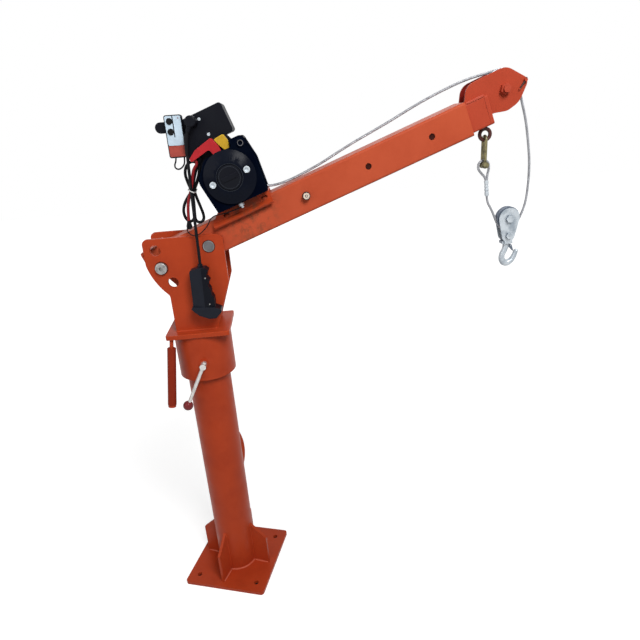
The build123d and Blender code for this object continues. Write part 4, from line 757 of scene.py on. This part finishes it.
def bevel(bm, edges, width, steps):
    """Round some edges, and give the new faces."""
    return bmesh.ops.bevel(bm, geom=edges, offset=width, offset_type="OFFSET", segments=steps, profile=0.5,
                           affect="EDGES", clamp_overlap=True, material=-1)["faces"]


def ease_edges(bm, width, angle=SHARP_ANGLE, steps=EASE_STEPS):
    """Round the sharp edges, and mark the new faces for the wear and the painted edge highlight of the finish."""
    layer = bm.faces.layers.float.get("edge") or bm.faces.layers.float.new("edge")
    limit = math.radians(angle)
    sharp = [edge for edge in bm.edges if len(edge.link_faces) == 2 and edge.calc_face_angle(0) > limit]
    for face in bevel(bm, sharp, width, steps):
        face[layer] = 1.0


def cad_copy(node):
    """Copy of a CAD node's mesh."""
    bm = bmesh.new()
    bm.from_mesh(frame["nodes"][node].data)
    return bm


def dress(node, finish_name, ease=None):
    """Copy of a CAD node with eased edges, which stands for it."""
    bm = cad_copy(node)
    bmesh.ops.remove_doubles(bm, verts=bm.verts, dist=MERGE)
    bmesh.ops.dissolve_limit(bm, angle_limit=math.radians(FLAT_ANGLE), verts=bm.verts, edges=bm.edges)
    ease_edges(bm, settings("sizes").ease if ease is None else ease * MM)
    item = piece(f"{node}_dressed", bm, node, finish_name)
    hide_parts(node)
    return item


def dress_all(rows):
    """Dress the nodes of a family, and give the pieces by node."""
    made = {}
    for finish_name, ease, nodes in rows:
        for node in nodes:
            made[node] = dress(node, finish_name, ease)
    return made


def repaint(item, finish_name, chosen):
    """Give a second finish to the faces that a test chooses."""
    item.data.materials.append(finish(finish_name))
    for face in item.data.polygons:
        if chosen(face):
            face.material_index = 1


def place_along(origin, axis):
    """Matrix that carries +Z to an axis at a place."""
    return Matrix.Translation(origin) @ Vector(axis).to_track_quat("Z", "Y").to_matrix().to_4x4()


def verts_of(made):
    """Vertices among the results of a bmesh operator."""
    return [item for item in made["geom"] if isinstance(item, bmesh.types.BMVert)]


def edges_of(verts):
    """Edges that meet some vertices."""
    return list({edge for vert in verts for edge in vert.link_edges})


def fresh(bm):
    """Vertices that haven't been settled yet."""
    return [vert for vert in bm.verts if not vert.tag]


def settle(bm, matrix):
    """Carry the fresh vertices to their place, and mark them."""
    verts = fresh(bm)
    bmesh.ops.transform(bm, matrix=matrix, verts=verts)
    for vert in verts:
        vert.tag = True


def spin(bm, geometry, steps):
    """Carry some geometry once round the upright axis."""
    bmesh.ops.spin(bm, geom=geometry, cent=(0, 0, 0), axis=(0, 0, 1), dvec=(0, 0, 0), angle=FULL_TURN,
                   steps=steps, use_merge=True)


def turned(bm, profile, origin, axis, steps):
    """Spin a profile about an axis."""
    corners = [bm.verts.new((radius * MM, 0, height * MM)) for radius, height in profile]
    edges = [bm.edges.new(pair) for pair in zip(corners, corners[1:])]
    spin(bm, corners + edges, steps)
    bmesh.ops.remove_doubles(bm, verts=fresh(bm), dist=POLE_MERGE)
    settle(bm, place_along(origin, axis))


def turned_piece(name, node, finish_name, profile, places, steps=TURN_STEPS):
    """Piece of one or more like turned shapes, at (origin, axis) places."""
    bm = bmesh.new()
    for origin, axis in places:
        turned(bm, profile, origin, axis, steps)
    return piece(name, bm, node, finish_name)


def ring_piece(name, node, finish_name, rings, steps=FLAT_RING_STEPS):
    """Piece of thin rings, as (inner, outer, place), with sloped sides, on faces turned to the front."""
    bm = bmesh.new()
    for inner, outer, place in rings:
        profile = ((inner, RING_FOOT), (inner + RING_SLOPE, RING_TOP), (outer - RING_SLOPE, RING_TOP),
                   (outer, RING_FOOT))
        turned(bm, profile, place, FRONT, steps)
    piece(name, bm, node, finish_name)


def slab(bm, place, size, corner, ease=SLAB_EASE):
    """Upright plate with rounded corners that faces the front, its corners and ease in millimetres."""
    verts = bmesh.ops.create_cube(bm, size=1.0)["verts"]
    bmesh.ops.transform(bm, matrix=Matrix.Translation(place) @ Matrix.Diagonal((*size, 1.0)), verts=verts)
    if corner:
        through = [edge for edge in edges_of(verts)
                   if abs((edge.verts[0].co - edge.verts[1].co).normalized().y) > ALIGNED]
        bevel(bm, through, corner * MM, CORNER_STEPS)
    ease_edges(bm, ease * MM, SLAB_SHARP)


# Cords


def route_curve(name, points, radius, resolution):
    """Smooth open spline led by a route's control points."""
    curve = bpy.data.curves.new(name, "CURVE")
    curve.dimensions = "3D"
    spline = curve.splines.new("NURBS")
    spline.points.add(len(points) - 1)
    for point, place in zip(spline.points, points):
        point.co = (*place, 1.0)
    spline.order_u = SPLINE_ORDER
    spline.use_endpoint_u = True
    curve.resolution_u = resolution
    curve.bevel_depth = radius
    curve.bevel_resolution = CORD_SIDES
    curve.use_fill_caps = True
    return curve


def cord(name, node, points, diameter, finish_name, with_pieces=()):
    """Round cord along a route, which stands for its CAD tube."""
    curve = route_curve(name, points, diameter / 2, CORD_STEPS)
    curve.materials.append(finish(finish_name))
    item = fit(name, curve, node)
    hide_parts(node)
    declare(points)


def spline_points(points, resolution):
    """Points read from the smooth spline of a route."""
    curve = route_curve("route", points, 0.0, resolution)
    item = linked("route", curve)
    bpy.context.view_layer.update()
    mesh = bpy.data.meshes.new_from_object(item)
    found = [vert.co.copy() for vert in mesh.vertices]
    bpy.data.objects.remove(item)
    bpy.data.curves.remove(curve)
    bpy.data.meshes.remove(mesh)
    return found


def declare(points, path=None):
    """Read points off the cord's spline; nothing is done with them."""
    found = path or spline_points(points, LENGTH_STEPS)


def strand_ring(bm, radius, strands):
    """Outline of a rope's section: one lobe for each strand, with a painted-shade weight in the grooves."""
    layer = bm.verts.layers.float.new("groove_shade")
    corners = strands * STRAND_CORNERS
    ring = bmesh.ops.create_circle(bm, cap_ends=False, radius=radius, segments=corners)["verts"]
    for vert in ring:
        angle = math.atan2(vert.co.y, vert.co.x)
        crown = abs(math.cos(angle * strands / 2))
        vert.co *= 1 - STRAND_GROOVE + STRAND_GROOVE * crown
        # Painted shade: weight of the dark colour in the grooves between strands
        vert[layer] = (1 - crown) ** 2
    return ring


def rope_mesh(bm, path, diameter, lay, strands):
    """Twisted strands drawn along a path."""
    ring = strand_ring(bm, diameter / 2, strands)
    edges = edges_of(ring)
    bmesh.ops.edgeloop_fill(bm, edges=edges)
    ahead = (path[1] - path[0]).normalized()
    bmesh.ops.transform(bm, matrix=place_along(path[0], ahead), verts=ring)
    for before, here, after in zip(path, path[1:], path[2:] + [path[-1] * 2 - path[-2]]):
        onward = (after - before).normalized()
        bend = ahead.rotation_difference(onward).to_matrix().to_4x4()
        twist = Matrix.Rotation(FULL_TURN * (here - before).length / lay, 4, onward)
        made = bmesh.ops.extrude_edge_only(bm, edges=edges)
        end = verts_of(made)
        move = Matrix.Translation(here) @ twist @ bend @ Matrix.Translation(-before)
        bmesh.ops.transform(bm, matrix=move, verts=end)
        kept = set(end)
        edges = [item for item in made["geom"]
                 if isinstance(item, bmesh.types.BMEdge) and item.verts[0] in kept and item.verts[1] in kept]
        ahead = onward
    bmesh.ops.edgeloop_fill(bm, edges=edges)


def rope(name, node, path, lay=None, across=None):
    """Wire rope along a path, which stands for its CAD tube, and is baked in place instead of riding with a body
    if a joint is named.
    """
    sizes = settings("sizes")
    bm = bmesh.new()
    rope_mesh(bm, path, sizes.rope, sizes.lay, sizes.strands)
    item = piece(name, bm, node, "rope_wire", SMOOTH_ROUND, rides=not across)
    if across:
        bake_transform(item)
    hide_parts(node)
    if lay:
        declare(path, path=path)


# Operators


class CRANE_OT_steelwork(bpy.types.Operator):
    """Enamelled plates, tubes and brackets"""

    bl_idname = "crane.steelwork"
    bl_label = "Steelwork"

    def execute(self, context):
        made = dress_all(STEELWORK)
        # Painted shade: the far cheek's inner face takes a dark enamel
        repaint(made["head_cheeks"], "inner_shade_enamel",
                lambda face: face.normal.y < -INNER_SHADE_SLOPE and face.center.y > 0)
        # Painted shade in the boom's spare pin holes
        hole_shade_discs()
        return {"FINISHED"}


def hole_shade_discs():
    """Dark discs set back in the boom's spare pin holes: painted shade inside the holes."""
    places = [(boom_point(u, side * HOLE_SHADE_ACROSS, HOLE_SHADE_OFF), (0, side, 0))
              for u in HOLE_SHADE_ALONG for side in (-1, 1)]
    turned_piece("hole_shade_discs", "boom_tube", "hole_shade", HOLE_SHADE_PROFILE, places, HOLE_SHADE_STEPS)


class CRANE_OT_welds(bpy.types.Operator):
    """Weld beads between the enamelled pieces"""

    bl_idname = "crane.welds"
    bl_label = "Welds"

    def execute(self, context):
        foot_welds()
        head_welds()
        # These beads take the boom's and the head's copies of the enamel, with their painted light and shade
        boom_welds("saddle_welds", "boom_tube", "boom_lit_enamel", SADDLE_SEAMS)
        boom_welds("boom_head_welds", "extension_tube", "bolt_enamel", BOOM_HEAD_SEAMS)
        return {"FINISHED"}


def bead_ring(bm, tube, height, bead):
    """Rippled weld bead round an upright CAD tube."""
    low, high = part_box(tube)
    ring = bmesh.ops.create_circle(bm, cap_ends=False, radius=bead, segments=BEAD_SIDES)["verts"]
    upright = Matrix.Translation(((high.x - low.x) / 2, 0, 0)) @ Matrix.Rotation(math.pi / 2, 4, "X")
    bmesh.ops.transform(bm, matrix=upright, verts=ring)
    spin(bm, ring + edges_of(ring), RING_STEPS)
    for vert in fresh(bm):
        angle = math.atan2(vert.co.y, vert.co.x)
        vert.co.z *= 1 + sum(size * math.sin(angle * rate) for size, rate in RING_RIPPLES)
    settle(bm, Matrix.Translation((0, 0, height)))


def bead_run(bm, start, end, bead):
    """Rippled weld bead along a straight seam."""
    start, end = Vector(start), Vector(end)
    span = (end - start).length
    verts = bmesh.ops.create_cone(bm, cap_ends=True, segments=BEAD_SIDES, radius1=bead, radius2=bead,
                                  depth=span)["verts"]
    rails = [edge for edge in edges_of(verts) if edge.calc_length() > span * ALIGNED]
    cuts = max(RUN_LEAST_CUTS, int(span / RUN_STEP))
    bmesh.ops.subdivide_edges(bm, edges=rails, cuts=cuts, use_grid_fill=True)
    for vert in fresh(bm):
        z = vert.co.z
        ripple = sum(size * math.sin(z * rate + span * shift) for size, rate, shift in RUN_RIPPLES)
        width = min(1.0, (span / 2 - abs(z)) / bead + RUN_END) * (1 + ripple)
        vert.co.x *= width
        vert.co.y *= width
    settle(bm, place_along((start + end) / 2, end - start))


def foot_welds():
    """Beads round the column's foot and along the gussets."""
    bead = settings("sizes").bead
    low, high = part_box("column_tube")
    radius = (high.x - low.x) / 2
    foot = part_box("base_plate")[1].z
    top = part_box("base_gussets")[1].z - SEAM_END * MM
    level = bmesh.new()
    upright = bmesh.new()
    bead_ring(level, "column_tube", foot, bead)
    for quarter in range(4):
        turn = Matrix.Rotation(math.radians(GUSSET_YAW) + quarter * FULL_TURN / 4, 3, "Z")
        for off in (-GUSSET_HALF * MM, GUSSET_HALF * MM):
            bead_run(level, turn @ Vector((radius + SEAM_START * MM, off, foot)),
                     turn @ Vector((GUSSET_REACH * MM, off, foot)), bead * GUSSET_BEAD)
            bead_run(upright, turn @ Vector((radius, off, foot + SEAM_START * MM)),
                     turn @ Vector((radius, off, top)), bead * GUSSET_BEAD)
    # Painted highlight: the level beads take the pale weld enamel
    piece("foot_welds", level, "base_plate", "weld_highlight_enamel", SMOOTH_BEAD)
    piece("gusset_welds", upright, "base_plate", "orange_enamel", SMOOTH_BEAD)


def head_welds():
    """Beads round the slewing sleeve's top and along the feet of the cheeks."""
    bead = settings("sizes").bead
    bm = bmesh.new()
    bead_ring(bm, "slew_sleeve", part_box("slew_sleeve")[1].z, bead)
    plate_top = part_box("head_plate")[1].z
    start, end = (x * MM for x in CHEEK_SEAM)
    for node in ("near_cheek", "far_cheek"):
        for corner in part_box(node):
            bead_run(bm, (start, corner.y, plate_top), (end, corner.y, plate_top), bead)
    piece("head_welds", bm, "head_plate", "orange_enamel", SMOOTH_BEAD)


def boom_welds(name, node, finish_name, seams):
    """Beads along seams of the boom's frame, each alike at several places across."""
    bead = settings("sizes").bead
    bm = bmesh.new()
    for places, runs in seams:
        for y in places:
            for (u, v), (u_end, v_end), share in runs:
                bead_run(bm, boom_point(u, y, v), boom_point(u_end, y, v_end), bead * share)
    piece(name, bm, node, finish_name, SMOOTH_BEAD)


class CRANE_OT_pins(bpy.types.Operator):
    """Pins, bolts, bushes, clamp screw and knob"""

    bl_idname = "crane.pins"
    bl_label = "Pins and clamp"

    def execute(self, context):
        made = dress_all(PINS)
        slim_head(made["extension_bolt"])
        pin_shade_rims()
        dress_all(BUSHES)
        return {"FINISHED"}


def slim_head(bolt):
    """Draw in the head of the extension's bolt to the width that shows."""
    x, z = BOLT_AXIS
    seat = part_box("boom_tube")[0].y + BOLT_SEAT * MM
    for vert in bolt.data.vertices:
        if vert.co.y < seat:
            axis = Vector((x * MM, vert.co.y, z * MM))
            vert.co = axis + (vert.co - axis) * BOLT_DRAW


def pin_shade_rims():
    """Painted shade rims round the pins, the cap and centre of the extension's bolt, a pale ring on the gearbox's
    boss as painted highlight, and a bright ring on the pivot pin's chamfer as painted highlight.
    """
    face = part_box("near_cheek")[0].y
    rims = [(inner, outer, (x * MM, face, z * MM)) for x, z, inner, outer in PIN_SHADE_RIMS]
    # Painted shade: dark rims round the pins
    ring_piece("pin_shade_rims", "near_cheek", "hole_shade", rims)
    front = Vector((BOLT_AXIS[0], BOLT_FRONT, BOLT_AXIS[1])) * MM
    turned_piece("bolt_cap", "extension_bolt", "cream_plate", BOLT_CAP, [(front, FRONT)])
    cap_top = front + Vector(FRONT) * BOLT_CAP_HALF * MM
    ring_piece("bolt_centre", "extension_bolt", "dull_steel", [(*BOLT_CENTRE, cap_top)])
    # Painted highlight: a pale ring on the gearbox's boss
    ring_piece("boss_highlight_rim", "gearbox_housing", "dull_steel", [(*BOSS_HIGHLIGHT_RIM, Vector(BOSS) * MM)])
    # Painted highlight: a bright ring on the pivot pin's chamfer
    pin_end = (PIVOT.x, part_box("pivot_pin")[0].y, PIVOT.z)
    ring_piece("pivot_chamfer_highlight", "pivot_pin", "bright_steel", [(*PIVOT_HIGHLIGHT_RING, pin_end)])


class CRANE_OT_winch(bpy.types.Operator):
    """Gearbox, cover, dial, motor and drum"""

    bl_idname = "crane.winch"
    bl_label = "Winch"

    def execute(self, context):
        dress_all(WINCH)
        # Painted highlight: lighter rings on the cover and the dial
        for name, node, radius, back in DIAL_HIGHLIGHT_RINGS:
            place = (DIAL.x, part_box(node)[0].y + back * MM, DIAL.z)
            ring_piece(name, node, "dial_highlight_line", [(radius - DIAL_HIGHLIGHT_HALF_WIDTH, radius + DIAL_HIGHLIGHT_HALF_WIDTH, place)], DIAL_STEPS)
        return {"FINISHED"}


class CRANE_OT_controls(bpy.types.Operator):
    """Control box, boots, remote and handset"""

    bl_idname = "crane.controls"
    bl_label = "Controls"

    def execute(self, context):
        made = dress_all(CONTROLS)
        # Painted light and shade: the handset's right-facing faces take the darker black
        repaint(made["handset_body"], "black_moulding", lambda face: face.normal.x > HANDSET_SHADE_SLOPE)
        rubber_flap("box_skirt", SKIRT)
        rubber_flap("boot_flap", FLAP)
        remote_trim()
        screws = [(Vector(place) * MM, SCREW_AXIS) for place in SCREWS]
        turned_piece("handset_screws", "winch_fasteners", "bright_steel", SCREW_HEAD, screws, SCREW_STEPS)
        return {"FINISHED"}


def rubber_flap(name, outline):
    """Rubber flap that hangs from the front of the control box over the leads."""
    front, back = FLAP_Y
    bm = bmesh.new()
    face = bm.faces.new([bm.verts.new((x * MM, front * MM, z * MM)) for x, z in outline])
    made = bmesh.ops.extrude_face_region(bm, geom=[face])
    bmesh.ops.translate(bm, vec=(0, (back - front) * MM, 0), verts=verts_of(made))
    ease_edges(bm, FLAP_EASE * MM)
    piece(name, bm, "control_box", "black_moulding")


def remote_trim():
    """Pale face, orange panel, dark rib and lamp on the front of the remote."""
    low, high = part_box("remote_body")
    for name, finish_name, shift, span, start, end, thick, corner in REMOTE_TRIM:
        width = span * MM if span else high.x - low.x - REMOTE_MARGIN * MM
        top = high.z - start * MM
        foot = high.z - end * MM if end else low.z + REMOTE_FOOT * MM
        x = (low.x + high.x) / 2 + shift * MM
        y = low.y - (thick / 2 - REMOTE_SINK) * MM
        bm = bmesh.new()
        slab(bm, (x, y, (top + foot) / 2), (width, thick * MM, top - foot), corner, REMOTE_EASE)
        piece(name, bm, "remote_body", finish_name)


class CRANE_OT_cords(bpy.types.Operator):
    """Leads, wire, strap and the handset's cable with its plug"""

    bl_idname = "crane.cords"
    bl_label = "Cords"

    def execute(self, context):
        sizes = settings("sizes")
        tie_z = TIE.z * MM
        upper = terminal_cap("black_terminal_cap", lambda place: place.z > tie_z)
        lower = terminal_cap("red_terminal_cap", lambda place: place.z < tie_z)
        band = tie_band()
        head = tie_head()
        black = boom_spots(BLACK_START) + [(TIE + Vector(p)) * MM for p in HANK]
        cord("black_lead_sheath", "black_lead", black, sizes.lead, "cable_sheath",
             (upper, band, head, sleeve("lead_sleeve", "black_lead", LEAD_SLEEVE)))
        red = boom_spots(RED_START) + spots(RED_FALL)
        cord("red_lead_sheath", "red_lead", red, sizes.lead, "red_sheath",
             (lower,))
        cord("signal_wire_sheath", "signal_wire", boom_spots(SIGNAL), sizes.wire, "cable_sheath")
        loop = [Vector((x, STRAP_Y, z)) * MM for x, z in STRAP]
        cord("strap_cord", "remote_strap", loop, sizes.strap, "cable_sheath")
        plug = dress(*PLUG)
        cord("pendant_cable", "handset_cable", spots(PENDANT), sizes.cable, "cable_sheath",
             (plug, sleeve("plug_sleeve", "pendant_plug", PLUG_SLEEVE)))
        return {"FINISHED"}


def sleeve(name, node, marks):
    """Tapered strain relief along the start of a cord, from (x, y, z, radius) marks in millimetres."""
    curve = route_curve(name, spots([mark[:3] for mark in marks]), MM, CORD_STEPS)
    for point, mark in zip(curve.splines[0].points, marks):
        point.radius = mark[3]
    curve.materials.append(finish("cable_sheath"))
    return fit(name, curve, node)


def terminal_cap(name, keep):
    """Soft black cap closed over a ring terminal and its barrel."""
    bm = cad_copy("lead_terminals")
    bmesh.ops.delete(bm, geom=[vert for vert in bm.verts if not keep(vert.co)], context="VERTS")
    made = bmesh.ops.convex_hull(bm, input=bm.verts)
    bmesh.ops.delete(bm, geom=made["geom_interior"] + made["geom_unused"], context="VERTS")
    bmesh.ops.dissolve_limit(bm, angle_limit=math.radians(CAP_FLAT), verts=bm.verts, edges=bm.edges)
    ease_edges(bm, CAP_EASE * MM, CAP_SHARP, CAP_STEPS)
    item = piece(name, bm, "lead_terminals", "cable_sheath", SMOOTH_BEAD)
    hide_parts("lead_terminals")
    return item


def tie_band():
    """Band of the cable tie, pulled askew round the hank and the handset's cable."""
    low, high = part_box("lead_tie")
    front = TIE_FRONT * MM
    width = TIE_WIDTH * MM
    centre = Vector(((low.x + high.x) / 2, (high.y + front) / 2, (low.z + high.z) / 2))
    half = Vector(((high.x - low.x) / 2 - TIE_INSET * MM, (high.y - front) / 2))
    bm = bmesh.new()
    for vert in bmesh.ops.create_circle(bm, cap_ends=False, radius=1.0, segments=TIE_SIDES)["verts"]:
        across, along = vert.co.x, vert.co.y
        reach = (abs(across) ** TIE_SQUARENESS + abs(along) ** TIE_SQUARENESS) ** (1 / TIE_SQUARENESS)
        vert.co = Vector((half.x * across / reach, half.y * along / reach, -width / 2))
    made = bmesh.ops.extrude_edge_only(bm, edges=bm.edges[:])
    bmesh.ops.translate(bm, vec=(0, 0, width), verts=verts_of(made))
    bmesh.ops.solidify(bm, geom=bm.faces[:], thickness=TIE_THICK * MM)
    tilt = Matrix.Translation(centre) @ Matrix.Rotation(math.radians(TIE_TILT), 4, "Y")
    bmesh.ops.transform(bm, matrix=tilt, verts=bm.verts)
    item = piece("tie_band", bm, "lead_tie", "white_nylon")
    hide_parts("lead_tie")
    return item


def tie_head():
    """Head of the cable tie at the back of the hank, with the end of its strap cut close."""
    low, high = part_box("lead_tie")
    place = Vector(((low.x + high.x) / 2, high.y + TIE_HEAD_OFF * MM, (low.z + high.z) / 2))
    bm = bmesh.new()
    for shift, size, corner in TIE_HEAD:
        slab(bm, place + Vector(shift) * MM, Vector(size) * MM, corner)
    return piece("tie_head", bm, "lead_tie", "white_nylon")


class CRANE_OT_ropes(bpy.types.Operator):
    """Wire rope on the drum, along the boom and at the block"""

    bl_idname = "crane.ropes"
    bl_label = "Ropes"

    def execute(self, context):
        for name, radius, pitch, turns, start in WINDINGS:
            rope(name, "rope_winding", spline_points(winding(radius, pitch, turns, start), WINDING_STEPS))
        run = spline_points(boom_spots(RUN_START + RUN), ROPE_STEPS)
        rope("rope_over_boom", "rope_run", run, "loose", ("boom", "extension", *boom_spots(RUN_GIVE)))
        falls = spline_points(spots(FALLS), ROPE_STEPS)
        low = min(range(len(falls)), key=lambda index: falls[index].z)
        for name, path, give in (("rope_at_block", falls[:low + 1], FALL_GIVE),
                                 ("rope_tail", falls[low:], TAIL_GIVE)):
            rope(name, "rope_falls", path, "hanging", ("extension", "hook_block", *spots(give)))
        rope("rope_eye_loop", "rope_eye", spline_points(spots(EYE), EYE_STEPS))
        ferrule()
        return {"FINISHED"}


def winding(radius, pitch, turns, start):
    """Control points of the rope's turns on the drum, from below it, for a spline of the stated radius."""
    axle = BOOM.inverted() @ DRUM
    swing = radius * MM / (1 - CORNER_PULL + CORNER_PULL * math.cos(FULL_TURN / WINDING_CORNERS))
    found = []
    for step in range(int(turns * WINDING_CORNERS) + 1):
        turn = step / WINDING_CORNERS
        angle = FULL_TURN * (WINDING_START + turn)
        y = (start + pitch * turn) * MM
        found.append(BOOM @ Vector((axle.x + swing * math.cos(angle), y, axle.z + swing * math.sin(angle))))
    return found


def ferrule():
    """Pressed sleeve that closes the rope's eye."""
    top, end = spots(FERRULE)
    span = (end - top).length / MM
    profile = list(FERRULE_END)
    for share in FERRULE_PRESSES:
        profile += [(radius, span * share + off) for radius, off in FERRULE_PRESS]
    profile += [(radius, span - off) for radius, off in reversed(FERRULE_END)]
    item = turned_piece("rope_ferrule", "rope_eye", "zinc_plating", profile, [(top, end - top)])
    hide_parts("rope_eye")


class CRANE_OT_hook_block(bpy.types.Operator):
    """Block, sheaves, shackle, hook and latch"""

    bl_idname = "crane.hook_block"
    bl_label = "Hook block"

    def execute(self, context):
        made = dress_all(BLOCK)
        # Painted shade: the block cheeks' rim faces take a dark finish
        repaint(made["block_cheeks"], "plate_shade", lambda face: abs(face.normal.y) < RIM_SHADE_SLOPE)
        forged_hook()
        dress(*SHACKLE)
        split_pin()
        return {"FINISHED"}


def swell(share):
    """Thickness of the hook's bar along its length, against that of a plain bar."""
    for (low, start), (high, end) in zip(HOOK_SWELL, HOOK_SWELL[1:]):
        if share <= high:
            return start + (end - start) * (share - low) / (high - low)
    return HOOK_SWELL[-1][1]


def forged_hook():
    """Hook whose bar swells in the bowl and thins to its tip."""
    path = spline_points(spots([(HOOK[0] + x, HOOK[1] + z) for x, z in HOOK_BAR]), HOOK_STEPS)
    bm = cad_copy("hook")
    bmesh.ops.remove_doubles(bm, verts=bm.verts, dist=MERGE)
    for vert in bm.verts:
        at = min(range(len(path)), key=lambda index: (path[index] - vert.co).length_squared)
        vert.co = path[at] + (vert.co - path[at]) * swell(at / (len(path) - 1))
    item = piece("hook_forged", bm, "hook", "block_zinc", SMOOTH_ROUND)
    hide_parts("hook")


def split_pin():
    """Split pin through the rope keeper's end."""
    start, end = boom_spots(SPLIT_PIN)
    legs = [(start + Vector((0, 0, off * MM)), end - start) for off in (-SPLIT_OFF, SPLIT_OFF)]
    turned_piece("split_pin", "head_pins", "dark_steel", SPLIT_LEG, legs, SPLIT_STEPS)


class CRANE_OT_stage(bpy.types.Operator):
    """Floor, light and camera"""

    bl_idname = "crane.stage"
    bl_label = "Stage"

    def execute(self, context):
        stage = settings("stage")
        scene = context.scene
        scene.view_settings.view_transform = "Standard"
        bm = bmesh.new()
        bmesh.ops.create_grid(bm, x_segments=1, y_segments=1, size=FLOOR_HALF)
        floor = linked("floor", mesh_of("floor", bm, floor_material()))
        world_light(scene, stage.sky)
        for name, place, target, size, share in LAMPS:
            area_light(name, place, target, size, stage.key * share)
        scene.camera = stand_camera(stage)
        return {"FINISHED"}


def floor_material():
    """Pale floor, white to the camera apart from the crane's shadow, with painted shade under the base plate that
    darkens its bolt holes.
    """
    material, tree, shader, where = blank("pale_floor")
    away = put(tree, "ShaderNodeVectorMath", {0: where}, operation="LENGTH").outputs["Value"]
    turn = {"Vector": where, "Angle": math.radians(PLATE_TURN)}
    flat = put(tree, "ShaderNodeVectorRotate", turn, rotation_type="Z_AXIS").outputs["Vector"]
    flat = put(tree, "ShaderNodeVectorMath", {0: flat}, operation="ABSOLUTE").outputs["Vector"]
    sides = put(tree, "ShaderNodeSeparateXYZ", {"Vector": flat}).outputs
    # Painted shade: under the base plate the floor is dark and does not glow
    clear = ramp(tree, maths(tree, "MAXIMUM", sides["X"], sides["Y"]), *PLATE_EDGE)
    glow = maths(tree, "MULTIPLY", ramp(tree, away, *FLOOR_GLOW), clear)
    feed(tree, shader, {
        "Base Color": mix(tree, clear, UNDER_PLATE_SHADE, FLOOR_GREY),
        "Roughness": FLOOR_ROUGHNESS,
        "Specular IOR Level": FLOOR_SHINE,
        "Emission Color": WHITE,
        "Emission Strength": maths(tree, "MULTIPLY", seen(tree, 1.0), glow),
    })
    return material


def seen(tree, strength):
    """Strength for rays that the camera, a reflection or glass sends out."""
    path = tree.nodes.new("ShaderNodeLightPath").outputs
    either = maths(tree, "MAXIMUM", path["Is Camera Ray"], path["Is Glossy Ray"])
    either = maths(tree, "MAXIMUM", either, path["Is Transmission Ray"])
    return maths(tree, "MULTIPLY", either, strength)


def world_light(scene, sky):
    """White background, with a softer light on the crane."""
    world = bpy.data.worlds.new("studio")
    world.use_nodes = True
    scene.world = world
    tree = world.node_tree
    strength = maths(tree, "ADD", seen(tree, 1.0 - sky), sky)
    feed(tree, tree.nodes["Background"], {"Color": WHITE, "Strength": strength})


def area_light(name, place, target, size, power):
    """Soft square lamp turned to a target."""
    lamp = bpy.data.lights.new(name, "AREA")
    lamp.size = size
    lamp.energy = power
    item = linked(name, lamp)
    item.location = place
    item.rotation_euler = (Vector(target) - Vector(place)).to_track_quat("-Z", "Y").to_euler()


def stand_camera(stage):
    """Camera at its place, turned by its own axes."""
    lens = bpy.data.cameras.new("camera")
    lens.sensor_width = SENSOR_WIDTH
    lens.lens = stage.lens
    right = Vector(CAMERA_RIGHT)
    back = right.cross(Vector(CAMERA_UP)).normalized()
    up = back.cross(right).normalized()
    camera = linked("camera", lens)
    camera.matrix_world = Matrix.Translation(stage.camera) @ Matrix((right, up, back)).transposed().to_4x4()
    return camera


class CRANE_PT_panel(bpy.types.Panel):
    """Lists the crane's colours, sizes and operators"""

    bl_idname = "CRANE_PT_panel"
    bl_label = "Pickup Truck Crane"
    bl_space_type = "VIEW_3D"
    bl_region_type = "UI"
    bl_category = "Crane"

    def draw(self, context):
        layout = self.layout
        for group in (context.scene.crane_colours, context.scene.crane_sizes, context.scene.crane_stage):
            column = layout.column(align=True)
            for key in group.bl_rna.properties.keys():
                if key not in ("rna_type", "name"):
                    column.prop(group, key)
        for operator in OPERATORS:
            layout.operator(operator.bl_idname)


OPERATORS = (CRANE_OT_stage, CRANE_OT_steelwork, CRANE_OT_welds, CRANE_OT_pins, CRANE_OT_winch,
             CRANE_OT_controls, CRANE_OT_cords, CRANE_OT_ropes, CRANE_OT_hook_block)
CLASSES = (CraneColours, CraneSizes, CraneStage) + OPERATORS + (CRANE_PT_panel,)


def register():
    """Add the crane's classes and settings to Blender."""
    for item in CLASSES:
        bpy.utils.register_class(item)
    bpy.types.Scene.crane_colours = PointerProperty(type=CraneColours)
    bpy.types.Scene.crane_sizes = PointerProperty(type=CraneSizes)
    bpy.types.Scene.crane_stage = PointerProperty(type=CraneStage)


def unregister():
    """Take them out again."""
    del bpy.types.Scene.crane_stage
    del bpy.types.Scene.crane_sizes
    del bpy.types.Scene.crane_colours
    for item in reversed(CLASSES):
        bpy.utils.unregister_class(item)


def main():
    """Build every piece in order."""
    register()
    for operator in OPERATORS:
        family, name = operator.bl_idname.split(".")
        getattr(getattr(bpy.ops, family), name)()


if __name__ == "__main__":
    main()
